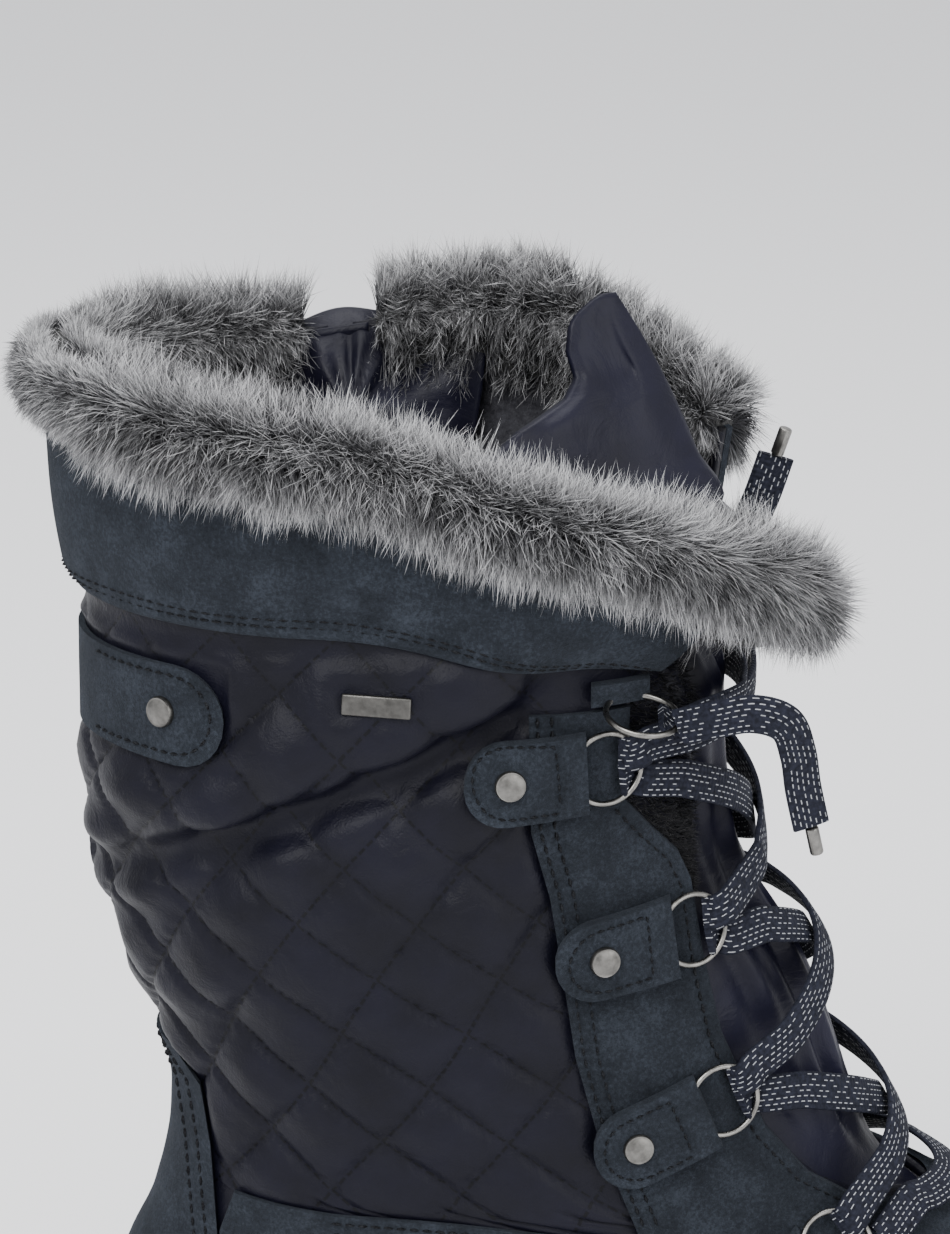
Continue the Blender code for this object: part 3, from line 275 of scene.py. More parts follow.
VIEW_TARGET = (0.0428, 0.0, 0.2250)
VIEW_RISE = 18.0
VIEW_WIDTH = 0.2111
LENS = 180.0
SENSOR = 36.0
LIGHT_AIM = (0.04, 0.0, 0.2)
WORLD_COLOUR = (0.96, 0.97, 1.0, 1.0)
WORLD_STRENGTH = 1.15


class BootSizes(bpy.types.PropertyGroup):
    """Sizes that a user would change."""

    quilt_puff: FloatProperty(
        name="Quilt puff", description="Height of the quilting's diamonds",
        default=0.0027, min=0.0, max=0.004, unit="LENGTH",
    )
    fur_length: FloatProperty(
        name="Fur length", description="Length of the collar's longest hairs",
        default=0.0128, min=0.004, max=0.03, unit="LENGTH",
    )
    fur_count: IntProperty(
        name="Fur hairs", description="Hairs in each of the collar's pieces of fur",
        default=36000, min=100, max=60000,
    )
    stitch_pitch: FloatProperty(
        name="Stitch pitch", description="Length of one stitch with its gap",
        default=0.0029, min=0.001, max=0.01, unit="LENGTH",
    )


def colour_choice(name, description, default):
    return FloatVectorProperty(
        name=name, description=description, subtype="COLOR", default=default, size=3, min=0.0, max=1.0,
    )


class BootColours(bpy.types.PropertyGroup):
    """Colours that a user would change."""

    suede: colour_choice("Suede", "Colour of the suede", (0.0140, 0.0168, 0.0218))
    quilt: colour_choice("Quilt", "Colour of the quilted nylon", (0.0030, 0.0030, 0.0068))
    satin: colour_choice("Satin", "Colour of the tongue's nylon", (0.0052, 0.0052, 0.0125))
    lace: colour_choice("Lace", "Colour of the lace", (0.0090, 0.0100, 0.0160))
    fur_root: colour_choice("Fur roots", "Colour of the fur near the skin", (0.012, 0.012, 0.014))
    fur_tip: colour_choice("Fur tips", "Colour of the fur's ends", (0.66, 0.66, 0.67))
    nickel: colour_choice("Nickel", "Colour of the metal", (0.20, 0.194, 0.182))


def smooth(edge0, edge1, value):
    """0 below edge0, 1 above edge1, and a soft step between."""
    share = np.clip((np.asarray(value, float) - edge0) / (edge1 - edge0), 0.0, 1.0)
    return share * share * (3.0 - 2.0 * share)


def cubic(rows, place):
    """A smooth curve through evenly spaced rows, read at places counted in rows."""
    rows = np.asarray(rows, float)
    place = np.asarray(place, float)
    last = len(rows) - 1
    first = np.clip(np.floor(place).astype(int), 0, last - 1)
    share = (place - first)[..., None]
    a, b = rows[np.maximum(first - 1, 0)], rows[first]
    c, d = rows[first + 1], rows[np.minimum(first + 2, last)]
    bend = 2.0 * a - 5.0 * b + 4.0 * c - d
    turn = 3.0 * (b - c) + d - a
    return b + 0.5 * share * (c - a + share * (bend + share * turn))


def x_of(share):
    return HEEL_BACK + share * LAST_LENGTH


def z_of(share):
    return SOLE_HEEL + share * UPPER_HEIGHT


def at(spot):
    """A share pair's place on the side view, in metres."""
    return x_of(spot[0]), z_of(spot[1])


def line_of(spots):
    return [at(spot) for spot in spots]


def along(x):
    return (x - HEEL_BACK) / LAST_LENGTH


def run_along(points):
    """The length along a line up to each of its points."""
    steps = np.linalg.norm(np.diff(points, axis=0), axis=1)
    return np.concatenate(([0.0], np.cumsum(steps)))


def sole_bottom(x):
    return TOE_SPRING * np.maximum(0.0, (along(x) - 0.76) / 0.24) ** 2


def sole_top(x):
    thickness = SOLE_HEEL + (SOLE_BALL - SOLE_HEEL) * smooth(0.22, 0.64, along(x))
    return sole_bottom(x) + thickness


def rounded(share, length):
    rest = 1.0 - np.clip(share, 0.0, None) / length
    return np.sqrt(np.maximum(0.0, 1.0 - np.maximum(rest, 0.0) ** 2))


def crease_push(x, z):
    """How far the outer side stands out at the slouch crease and the swell above it."""
    (x0, z0), (x1, z1) = line_of(CREASE)
    slope = math.atan2(z1 - z0, x1 - x0)
    above = (z - z0) * math.cos(slope) - (x - x0) * math.sin(slope)
    reach = (x - x0) / (x1 - x0)
    fade = smooth(-0.25, 0.10, reach) * (1.0 - smooth(0.85, 1.15, reach))
    trough = CREASE_DEPTH * np.exp(-((above / CREASE_WIDTH) ** 2))
    swell = CREASE_SWELL * np.exp(-(((above - 2.0 * CREASE_WIDTH) / (1.4 * CREASE_WIDTH)) ** 2))
    return fade * (swell - trough)


def surface(t, u):
    """The upper's outside. t counts sections upward, u runs back, outer side, front, inner side."""
    t, u = np.broadcast_arrays(np.asarray(t, float), np.asarray(u, float))
    row = cubic(SECTIONS, t)
    back_x, back_z, front_x, front_z, width, foot_part, sole, back_round, front_round = (
        row[..., i] for i in range(9))
    half_round = AROUND / 2
    turn = np.mod(u, AROUND)
    outer = turn <= half_round
    step = np.where(outer, turn, AROUND - turn)
    share = (1.0 - np.cos(math.pi * step / half_round)) / 2.0
    x = HEEL_BACK + (back_x + (front_x - back_x) * share) * LAST_LENGTH
    z = SOLE_HEEL + (back_z + (front_z - back_z) * share) * UPPER_HEIGHT
    widths = cubic(FOOT_WIDTHS, share * (len(FOOT_WIDTHS) - 1))
    foot = np.where(outer, widths[..., 0], widths[..., 1])
    body = foot_part * foot + (1.0 - foot_part) * (0.90 + 0.10 * np.sin(math.pi * share))
    ends = rounded(share, back_round) * rounded(1.0 - share, front_round)
    half = width * BALL_WIDTH / 2 * body * ends
    side = np.where(outer, -half, half)
    z = z + (sole_top(x) + GAP - z) * np.maximum(sole, 0.0)
    lean = np.where(outer, smooth(0.35, 0.95, share), smooth(0.15, 0.80, share))
    z = z + COLLAR_TWIST * smooth(TWIST_FOOT, TOP, t) * lean * side / (BALL_WIDTH / 2)
    dip = np.where(outer, smooth(0.75, 1.0, share), smooth(0.60, 0.93, share))
    z = z - COLLAR_DIP * smooth(DIP_FOOT, TOP, t) * dip
    push = crease_push(x, z) * np.sqrt(np.maximum(np.sin(math.pi * share), 0.0)) * (1.0 - foot_part)
    side = side - np.where(outer, push, 0.0)
    return np.stack((x, side + foot_part * TOE_SWING * share ** 3, z), axis=-1)


def unit(vectors):
    length = np.linalg.norm(vectors, axis=-1, keepdims=True)
    return vectors / np.maximum(length, 1e-12)


def normal(t, u):
    """The upper's outward direction."""
    t = np.asarray(t, float)
    rise = surface(np.minimum(t + 0.3, TOP), u) - surface(np.maximum(t - 0.3, 0.0), u)
    run = surface(t, np.asarray(u) + 0.4) - surface(t, np.asarray(u) - 0.4)
    return unit(np.cross(run, rise))


def skin(t, u, lift):
    """Points off the upper's outside, kept above the sole."""
    place = surface(t, u) + normal(t, u) * np.asarray(lift)[..., None]
    place[..., 2] = np.maximum(place[..., 2], sole_top(place[..., 0]) + GAP)
    return place


def find(x, z, side):
    """The t and u of the upper's outside at side view places, outer side (-1) or inner (1)."""
    x, z = np.atleast_1d(np.asarray(x, float)), np.atleast_1d(np.asarray(z, float))
    spread = np.linspace(0.3, AROUND / 2 - 0.3, 90)
    rows, columns = np.meshgrid(np.linspace(0, TOP, 81), spread, indexing="ij")
    sign = 1.0 if side < 0 else -1.0
    table = surface(rows, sign * columns)
    gap = (table[None, :, :, 0] - x[:, None, None]) ** 2
    gap = gap + (table[None, :, :, 2] - z[:, None, None]) ** 2
    best = gap.reshape(len(x), -1).argmin(axis=1)
    t, u = rows.ravel()[best].copy(), columns.ravel()[best].copy()
    for _ in range(12):
        here = surface(t, sign * u)
        by_t = (surface(np.minimum(t + 0.01, TOP), sign * u) - surface(t - 0.01, sign * u)) / 0.02
        by_u = (surface(t, sign * (u + 0.01)) - surface(t, sign * (u - 0.01))) / 0.02
        ex, ez = x - here[:, 0], z - here[:, 2]
        det = by_t[:, 0] * by_u[:, 2] - by_u[:, 0] * by_t[:, 2]
        det = np.where(np.abs(det) < 1e-9, 1e-9, det)
        dt = (ex * by_u[:, 2] - by_u[:, 0] * ez) / det
        du = (by_t[:, 0] * ez - ex * by_t[:, 2]) / det
        t = np.clip(t + np.clip(dt, -0.6, 0.6), 0.02, TOP - 0.02)
        u = np.clip(u + np.clip(du, -0.6, 0.6), 0.1, AROUND / 2 - 0.1)
    return t, sign * u


def facet(t, u):
    """As surface, on the model's own flat triangles."""
    low_t, low_u = min(int(t), TOP - 1), math.floor(u)
    up, side = t - low_t, u - low_u
    start, end = surface(low_t, low_u), surface(low_t + 1, low_u + 1)
    if side >= up:
        corner = surface(low_t, low_u + 1)
        return start + side * (corner - start) + up * (end - corner)
    corner = surface(low_t + 1, low_u)
    return start + up * (corner - start) + side * (end - corner)


def rise_near(t, u, reach):
    """How far the model's faces within reach stand above the plane through one of their points."""
    out, centre = normal(t, u), facet(t, u)
    rise = 0.0
    for i in range(-15, 16):
        for j in range(-15, 16):
            near = facet(min(max(t + 0.1 * i, 0.0), TOP), u + 0.1 * j) - centre
            if np.linalg.norm(near) < reach:
                rise = max(rise, float(near.dot(out)))
    return rise


def frame_at(t, u, lift, tilt=0.0):
    """Axes on the upper: x forward along the surface, y up along it, z straight out."""
    out = Vector(normal(t, u))
    forward = Vector((math.cos(tilt), 0.0, math.sin(tilt)))
    forward = (forward - out * forward.dot(out)).normalized()
    up = out.cross(forward)
    place = Vector(facet(t, u)) + out * lift
    turn = Matrix((forward, up, out)).transposed().to_4x4()
    return Matrix.Translation(place) @ turn


def find_one(x, z, side):
    t, u = find(x, z, side)
    return float(t[0]), float(u[0])


def tab_seat(fastening):
    return 2 * GAP + SUEDE if fastening.rivet else GAP


def ring_place(fastening, side):
    """The ring's own axes: its bar is held in the tab, and the ring goes on from there."""
    t, u = find_one(*at((fastening.bar_x, fastening.bar_z)), side)
    bar = frame_at(t, u, tab_seat(fastening) + TAB_THICKNESS / 2, math.radians(fastening.tilt))
    turn = Matrix.Rotation(-math.radians(fastening.turn), 4, "Y")
    return bar @ turn @ Matrix.Translation((RING_RADIUS, 0.0, 0.0))


def ring_ways(fastening, place):
    """In the ring's own axes: the way out of it toward the lacing, and the way along it."""
    away = Vector((1.0, 0.0, 0.0))
    if not fastening.rivet:
        away = place.to_3x3().transposed() @ away
        away = Vector((away.x, away.y, 0.0)).normalized()
    along_ring = Vector((-away.y, away.x, 0.0))
    if (place.to_3x3() @ along_ring).z < 0.0:
        along_ring = -along_ring
    return away, along_ring


def ring_exit(fastening, side, shift):
    """A point just outside a ring where a lace leaves it, shifted along the ring."""
    place = ring_place(fastening, side)
    away, along_ring = ring_ways(fastening, place)
    reach = RING_RADIUS + RING_WIRE / 2 + 2 * GAP
    return place @ (away * reach + along_ring * shift)


def lace_end_route(side):
    """Each free end's points, from the top ring outward, in metres."""
    start = ring_exit(FASTENINGS[0], side, 0.0) + Vector((0.0, side * LACE_END_ASIDE, 0.0))
    steps = OUTER_END if side < 0 else INNER_END
    return [start + Vector((step.forward, -side * step.inward, step.up)) for step in steps]


# Mesh helpers


def link(name, mesh):
    made = bpy.data.objects.new(name, mesh)
    bpy.context.scene.collection.objects.link(made)
    return made


def mesh_of(name, points, faces, finish, uv=None, soft=True):
    """An object from points and faces that all have the same number of corners."""
    points, faces = np.asarray(points, np.float32), np.asarray(faces, np.int32)
    mesh = bpy.data.meshes.new(name)
    mesh.vertices.add(len(points))
    mesh.vertices.foreach_set("co", points.ravel())
    mesh.loops.add(faces.size)
    mesh.loops.foreach_set("vertex_index", faces.ravel())
    mesh.polygons.add(len(faces))
    mesh.polygons.foreach_set("loop_start", np.arange(len(faces), dtype=np.int32) * faces.shape[1])
    mesh.update(calc_edges=True)
    mesh.validate()
    if uv is not None:
        layer = mesh.uv_layers.new(name="Pattern")
        corners = np.empty(len(mesh.loops), np.int32)
        mesh.loops.foreach_get("vertex_index", corners)
        layer.data.foreach_set("uv", np.asarray(uv, np.float32)[corners].ravel())
    mesh.polygons.foreach_set("use_smooth", np.full(len(mesh.polygons), soft))
    mesh.materials.append(finish)
    return link(name, mesh)


def grid_faces(rows, columns, wrap=False):
    """Quads over a grid of points, outward where the columns run toward the back's outer side."""
    i, j = np.meshgrid(np.arange(rows - 1), np.arange(columns if wrap else columns - 1), indexing="ij")
    after = (j + 1) % columns
    low, high = i * columns, (i + 1) * columns
    return np.stack((low + j, low + after, high + after, high + j), -1).reshape(-1, 4)


def slab(name, outside, inside, finish, uv=None, wrap=False):
    """A closed sheet between two grids of points with the same rows and columns."""
    rows, columns = outside.shape[:2]
    points = np.concatenate((outside.reshape(-1, 3), inside.reshape(-1, 3)))
    under = rows * columns
    over = grid_faces(rows, columns, wrap)
    faces = [over, over[:, ::-1] + under]
    j = np.arange(columns if wrap else columns - 1)
    after = (j + 1) % columns
    last = (rows - 1) * columns
    faces.append(np.stack((j + under, after + under, after, j), -1))
    faces.append(np.stack((last + j, last + after, last + after + under, last + j + under), -1))
    if not wrap:
        i = np.arange(rows - 1) * columns
        end = i + columns - 1
        faces.append(np.stack((i, i + columns, i + columns + under, i + under), -1))
        faces.append(np.stack((end + under, end + columns + under, end + columns, end), -1))
    if uv is not None:
        uv = np.concatenate((uv.reshape(-1, 2), uv.reshape(-1, 2)))
    return mesh_of(name, points, np.concatenate(faces), finish, uv)


def sheet(name, t, u, far, near, finish, uv=None):
    """A closed sheet over a grid of t and u, between two heights off the upper."""
    return slab(name, skin(t, u, far), skin(t, u, near), finish, uv)


def prism(outline, y0=-FAR, y1=FAR):
    """A cutter: a side view outline drawn out across the boot."""
    count = len(outline)
    points = [(x, y0, z) for x, z in outline] + [(x, y1, z) for x, z in outline]
    faces = [list(range(count)), list(range(2 * count - 1, count - 1, -1))]
    faces += [[i, i + count, (i + 1) % count + count, (i + 1) % count] for i in range(count)]
    mesh = bpy.data.meshes.new("cutter")
    mesh.from_pydata(points, [], faces)
    return edited(link("cutter", mesh), bpy.ops.mesh.normals_make_consistent, inside=False)


def deselect():
    for thing in bpy.context.selected_objects:
        thing.select_set(False)


def pick(thing):
    thing.select_set(True)
    bpy.context.view_layer.objects.active = thing


def edited(thing, operator, **settings):
    """One operator of edit mode over the whole mesh."""
    deselect()
    pick(thing)
    bpy.ops.object.mode_set(mode="EDIT")
    bpy.ops.mesh.select_all(action="SELECT")
    operator(**settings)
    bpy.ops.object.mode_set(mode="OBJECT")
    return thing


def apply(thing, kind, **settings):
    """A modifier set up and applied at once."""
    deselect()
    pick(thing)
    modifier = thing.modifiers.new(kind.title(), kind)
    for key, value in settings.items():
        setattr(modifier, key, value)
    bpy.ops.object.modifier_apply(modifier=modifier.name)
    return thing


def cut(thing, cutter, operation, solver="EXACT"):
    apply(thing, "BOOLEAN", object=cutter, operation=operation, solver=solver)
    bpy.data.objects.remove(cutter, do_unlink=True)
    if not thing.data.polygons:
        raise RuntimeError(f"nothing is left of {thing.name}")
    return thing


def shade(thing, angle=35.0):
    deselect()
    pick(thing)
    bpy.ops.object.shade_smooth_by_angle(angle=math.radians(angle), keep_sharp_edges=False)
    return thing


def joined(name, things):
    """One object from several."""
    deselect()
    for thing in things:
        pick(thing)
    bpy.ops.object.join()
    whole = bpy.context.view_layer.objects.active
    whole.name = name
    whole.data.name = name
    return whole


def placed(thing, place, finish):
    """The object's place put into its mesh, so that the object itself stays at the origin."""
    thing.data.transform(place @ thing.matrix_basis)
    thing.matrix_basis = Matrix.Identity(4)
    thing.data.materials.clear()
    thing.data.materials.append(finish)
    return thing


def settle(thing, slot, *nodes, body="boot"):
    """The piece rides on its body and stands for its nodes."""
    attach(thing, body)
    if nodes:
        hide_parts(*nodes)
    return thing


# Materials


class Finish:
    """A material being made from its nodes."""

    def __init__(self, name, colour, roughness, metallic=0.0, sheen=0.0, specular=0.2):
        self.material = bpy.data.materials.new(name)
        self.material.use_nodes = True
        self.tree = self.material.node_tree
        self.shader = self.tree.nodes["Principled BSDF"]
        self.set("Base Color", (*colour, 1.0))
        self.set("Roughness", roughness)
        self.set("Metallic", metallic)
        self.set("Sheen Weight", sheen)
        self.set("Sheen Roughness", 0.45)
        self.set("Specular IOR Level", specular)
        self.material.diffuse_color = (*colour, 1.0)

    def set(self, socket, value):
        self.shader.inputs[socket].default_value = value

    def node(self, kind, **values):
        made = self.tree.nodes.new(kind)
        for key, value in values.items():
            setattr(made, key, value)
        return made

    def link(self, source, target):
        self.tree.links.new(source, target)

    def maths(self, operation, first, second=0.0):
        made = self.node("ShaderNodeMath", operation=operation)
        for index, value in enumerate((first, second)):
            if isinstance(value, (int, float)):
                made.inputs[index].default_value = value
            else:
                self.link(value, made.inputs[index])
        return made.outputs[0]

    def pattern(self):
        made = self.node("ShaderNodeUVMap", uv_map="Pattern")
        split = self.node("ShaderNodeSeparateXYZ")
        self.link(made.outputs["UV"], split.inputs[0])
        return split.outputs[0], split.outputs[1]

    def noise(self, scale, detail, roughness, distortion=0.0):
        made = self.node("ShaderNodeTexNoise")
        made.inputs["Scale"].default_value = scale
        made.inputs["Detail"].default_value = detail
        made.inputs["Roughness"].default_value = roughness
        made.inputs["Distortion"].default_value = distortion
        self.link(self.node("ShaderNodeTexCoord").outputs["Object"], made.inputs["Vector"])
        return made.outputs["Fac"]

    def ramp(self, value, *stops):
        made = self.node("ShaderNodeValToRGB")
        while len(made.color_ramp.elements) < len(stops):
            made.color_ramp.elements.new(0.5)
        for element, (position, colour) in zip(made.color_ramp.elements, stops):
            element.position = position
            element.color = (*colour, 1.0)
        self.link(value, made.inputs[0])
        return made.outputs[0]

    def mix(self, share, first, second):
        made = self.node("ShaderNodeMix", data_type="RGBA")
        for index, value in ((0, share), (6, first), (7, second)):
            if isinstance(value, (tuple, float)):
                made.inputs[index].default_value = value if isinstance(value, float) else (*value, 1.0)
            else:
                self.link(value, made.inputs[index])
        return made.outputs[2]

    def colour(self, source):
        self.link(source, self.shader.inputs["Base Color"])

    def bump(self, height, distance, strength=1.0, below=None):
        made = self.node("ShaderNodeBump")
        made.inputs["Strength"].default_value = strength
        made.inputs["Distance"].default_value = distance
        self.link(height, made.inputs["Height"])
        if below is not None:
            self.link(below, made.inputs["Normal"])
        self.link(made.outputs[0], self.shader.inputs["Normal"])
        return made.outputs[0]


def toned(colour, factor):
    return tuple(min(c * factor, 1.0) for c in colour)


def colours():
    return bpy.context.scene.boot_colours


def sizes():
    return bpy.context.scene.boot_sizes


def suede_finish(name="suede", lighter=1.0):
    """Napped suede, a little uneven, with soft scuffs."""
    base = toned(colours().suede, lighter)
    made = Finish(name, base, 0.95, sheen=0.04, specular=0.1)
    made.set("Sheen Tint", (0.62, 0.70, 0.85, 1.0))
    cloudy = made.noise(95.0, 5.0, 0.62)
    speckle = made.noise(1150.0, 3.0, 0.8)
    tone = made.maths("ADD", made.maths("MULTIPLY", cloudy, 0.45), made.maths("MULTIPLY", speckle, 0.55))
    shades = made.ramp(tone, (0.34, toned(base, 0.50)), (0.50, base), (0.66, toned(base, 2.1)))
    scuff = made.ramp(made.noise(38.0, 6.0, 0.72, distortion=0.5), (0.60, (0.0,) * 3), (0.72, (1.0,) * 3))
    made.colour(made.mix(made.maths("MULTIPLY", scuff, 0.26), shades, toned(base, 3.0)))
    coarse = made.bump(made.noise(420.0, 3.0, 0.6), 0.0004, 0.35)
    made.bump(made.noise(2300.0, 3.0, 0.8), 0.00045, 0.9, coarse)
    return made.material


def quilt_finish():
    """Fine nylon with creases at the quilting's stitches."""
    base = tuple(colours().quilt)
    made = Finish("quilted_nylon", base, 0.47, specular=0.14)
    cloudy = made.noise(60.0, 4.0, 0.6)
    shades = made.ramp(cloudy, (0.32, toned(base, 0.78)), (0.68, toned(base, 1.42)))
    first, second = made.pattern()
    lines = []
    for own, other in ((first, second), (second, first)):
        turn = made.maths("FRACT", made.maths("ADD", own, 0.5))
        near = made.maths("ABSOLUTE", made.maths("SUBTRACT", turn, 0.5))
        line = made.maths("LESS_THAN", near, 0.016)
        dash = made.maths("LESS_THAN", made.maths("FRACT", made.maths("MULTIPLY", other, 7.0)), 0.68)
        lines.append(made.maths("MULTIPLY", line, dash))
    thread = made.maths("MAXIMUM", *lines)
    made.colour(made.mix(made.maths("MULTIPLY", thread, 0.85), shades, toned(base, 0.25)))
    weave = made.noise(2100.0, 1.0, 0.5)
    wrinkle = made.noise(130.0, 5.0, 0.62, distortion=1.2)
    below = made.bump(wrinkle, 0.0011, 0.42)
    below = made.bump(weave, 0.00018, 0.5, below)
    made.bump(made.maths("MULTIPLY", thread, -1.0), 0.0005, 1.0, below)
    return made.material


def satin_finish(name="satin_nylon", lighter=1.0):
    """Smooth dark nylon with soft wrinkles."""
    base = toned(colours().satin, lighter)
    made = Finish(name, base, 0.42, specular=0.16)
    shades = made.ramp(made.noise(45.0, 4.0, 0.55), (0.32, toned(base, 0.72)), (0.70, toned(base, 1.5)))
    made.colour(shades)
    below = made.bump(made.noise(70.0, 5.0, 0.6, distortion=0.8), 0.0016, 0.45)
    made.bump(made.noise(2400.0, 1.0, 0.5), 0.00012, 0.4, below)
    return made.material


def lace_finish():
    """Flat woven lace: navy, with rows of light flecks along it."""
    base = tuple(colours().lace)
    made = Finish("lace_cloth", base, 0.8, specular=0.1)
    across, length = made.pattern()
    row = made.maths("FLOOR", made.maths("MULTIPLY", across, 7.0))
    shift = made.maths("FRACT", made.maths("MULTIPLY", row, 0.371))
    beat = made.maths("ADD", made.maths("MULTIPLY", length, 520.0), shift)
    within = made.maths("FRACT", made.maths("MULTIPLY", across, 7.0))
    middle = made.maths("LESS_THAN", made.maths("ABSOLUTE", made.maths("SUBTRACT", within, 0.5)), 0.10)
    dash = made.maths("MULTIPLY", made.maths("LESS_THAN", made.maths("FRACT", beat), 0.56), middle)
    whole = made.maths("FLOOR", beat)
    lot = made.maths("FRACT", made.maths("MULTIPLY", made.maths("SINE", made.maths(
        "ADD", made.maths("MULTIPLY", whole, 12.99), made.maths("MULTIPLY", row, 78.2))), 43758.5))
    inner = made.maths("LESS_THAN", made.maths("ABSOLUTE", made.maths("SUBTRACT", across, 0.5)), 0.44)
    fleck = made.maths("MULTIPLY", made.maths("MULTIPLY", dash, inner), made.maths("GREATER_THAN", lot, 0.22))
    body = made.ramp(made.noise(900.0, 2.0, 0.6), (0.3, toned(base, 0.7)), (0.7, toned(base, 1.7)))
    made.colour(made.mix(made.maths("MULTIPLY", fleck, 0.62), body, (0.42, 0.43, 0.45)))
    ribs = made.maths("SINE", made.maths("MULTIPLY", length, 5200.0))
    cords = made.maths("SINE", made.maths("MULTIPLY", across, 37.7))
    weave = made.maths("ADD", made.maths("MULTIPLY", ribs, 0.45), cords)
    made.bump(weave, 0.00016, 0.8)
    return made.material


def nickel_finish(name="brushed_nickel", roughness=0.26, lighter=1.0):
    """Brushed metal with fine streaks and dull spots."""
    base = toned(colours().nickel, lighter)
    made = Finish(name, base, roughness, metallic=1.0)
    tone = made.noise(420.0, 4.0, 0.6)
    made.colour(made.ramp(tone, (0.32, toned(base, 0.66)), (0.66, toned(base, 1.18))))
    rough = made.node("ShaderNodeMapRange")
    rough.inputs["To Min"].default_value = roughness * 0.7
    rough.inputs["To Max"].default_value = roughness * 1.6
    made.link(made.noise(800.0, 3.0, 0.6), rough.inputs["Value"])
    made.link(rough.outputs[0], made.shader.inputs["Roughness"])
    made.bump(made.noise(3000.0, 2.0, 0.6), 0.00006, 0.5)
    return made.material


def fur_finish():
    """Hair, dark at the root and light at its end, each a little different."""
    root, tip = tuple(colours().fur_root), tuple(colours().fur_tip)
    made = Finish("fur_hair", tip, 0.62, sheen=0.1)
    lot, length = made.pattern()
    middle = tuple((a * 0.62 + b * 0.38) * 0.62 for a, b in zip(root, tip))
    pale = made.ramp(length, (0.0, toned(root, 1.5)), (0.25, toned(root, 4.0)), (0.50, middle), (0.85, tip))
    dark = made.ramp(length, (0.0, root), (0.50, toned(root, 1.6)), (1.0, toned(tip, 0.22)))
    made.colour(made.mix(lot, dark, pale))
    return made.material


def rubber_finish():
    made = Finish("black_rubber", (0.012, 0.0125, 0.014), 0.62)
    tone = made.noise(260.0, 4.0, 0.6)
    made.colour(made.ramp(tone, (0.3, (0.009, 0.009, 0.010)), (0.7, (0.021, 0.022, 0.025))))
    made.bump(made.noise(1400.0, 3.0, 0.7), 0.00022, 0.6)
    return made.material


def lining_finish():
    made = Finish("lining", (0.028, 0.028, 0.034), 0.95, sheen=0.3)
    tone = made.noise(700.0, 4.0, 0.7)
    made.colour(made.ramp(tone, (0.3, (0.014, 0.014, 0.018)), (0.7, (0.055, 0.055, 0.064))))
    made.bump(made.noise(1100.0, 4.0, 0.7), 0.0007, 0.9)
    return made.material


def thread_and_hole_shade_finish():
    # Nearly black thread: partly the stitches' own dark colour, partly painted shade of the stitch holes,
    # which are not modelled.
    made = Finish("thread", (0.010, 0.011, 0.014), 0.75, specular=0.1)
    tone = made.noise(3000.0, 2.0, 0.6)
    made.colour(made.ramp(tone, (0.42, (0.0025, 0.0025, 0.0032)), (0.74, (0.022, 0.024, 0.028))))
    return made.material


# The shaft


def throat_at(t, side):
    """The u of the throat's edge at each section, the front's middle where there is no throat."""
    t = np.asarray(t, float)
    edge = sorted(line_of(THROAT), key=lambda p: -p[1])
    low, high = np.full(t.shape, AROUND / 4), np.full(t.shape, AROUND / 2)
    height = np.maximum(t, 7.2)
    sign = 1.0 if side < 0 else -1.0
    for _ in range(30):
        u = (low + high) / 2
        point = surface(height, sign * u)
        limit = np.interp(-point[..., 2], [-z for _, z in edge], [x for x, _ in edge])
        ahead = point[..., 0] < limit
        low, high = np.where(ahead, u, low), np.where(ahead, high, u)
    opened = np.sqrt(smooth(6.6, 7.4, t))
    return (AROUND / 2 - (AROUND / 2 - (low + high) / 2) * opened)


def column_at(x, t, side=1):
    """The u where each section passes x."""
    t = np.asarray(t, float)
    low, high = np.full(t.shape, 0.3), np.full(t.shape, AROUND / 2 - 0.3)
    sign = 1.0 if side < 0 else -1.0
    for _ in range(26):
        u = (low + high) / 2
        ahead = surface(t, sign * u)[..., 0] < x
        low, high = np.where(ahead, u, low), np.where(ahead, high, u)
    return (low + high) / 2


def between(line, z):
    """The x of a side view line at each height."""
    ordered = sorted(line, key=lambda p: p[1])
    return np.interp(z, [p[1] for p in ordered], [p[0] for p in ordered])


def between_x(line, x):
    """The height of a side view line at each x."""
    ordered = sorted(line)
    return np.interp(x, [p[0] for p in ordered], [p[1] for p in ordered])


def quilt_place(t, u):
    """The quilting's two diagonal counts at each point of the shaft."""
    spread = np.linspace(-AROUND / 2, AROUND / 2, 561)
    ring = surface(QUILT_HOME, spread)
    run = run_along(ring)
    run -= np.interp(0.0, spread, run)
    point = surface(t, u)
    x0, z0 = DIAMOND_AT
    outer = spread > 0
    start = np.interp(x0, ring[outer, 0], run[outer])
    across = (np.interp(u, spread, run) - start) / DIAMOND_WIDTH
    up = (point[..., 2] - z0) / DIAMOND_HEIGHT
    return across + up, across - up


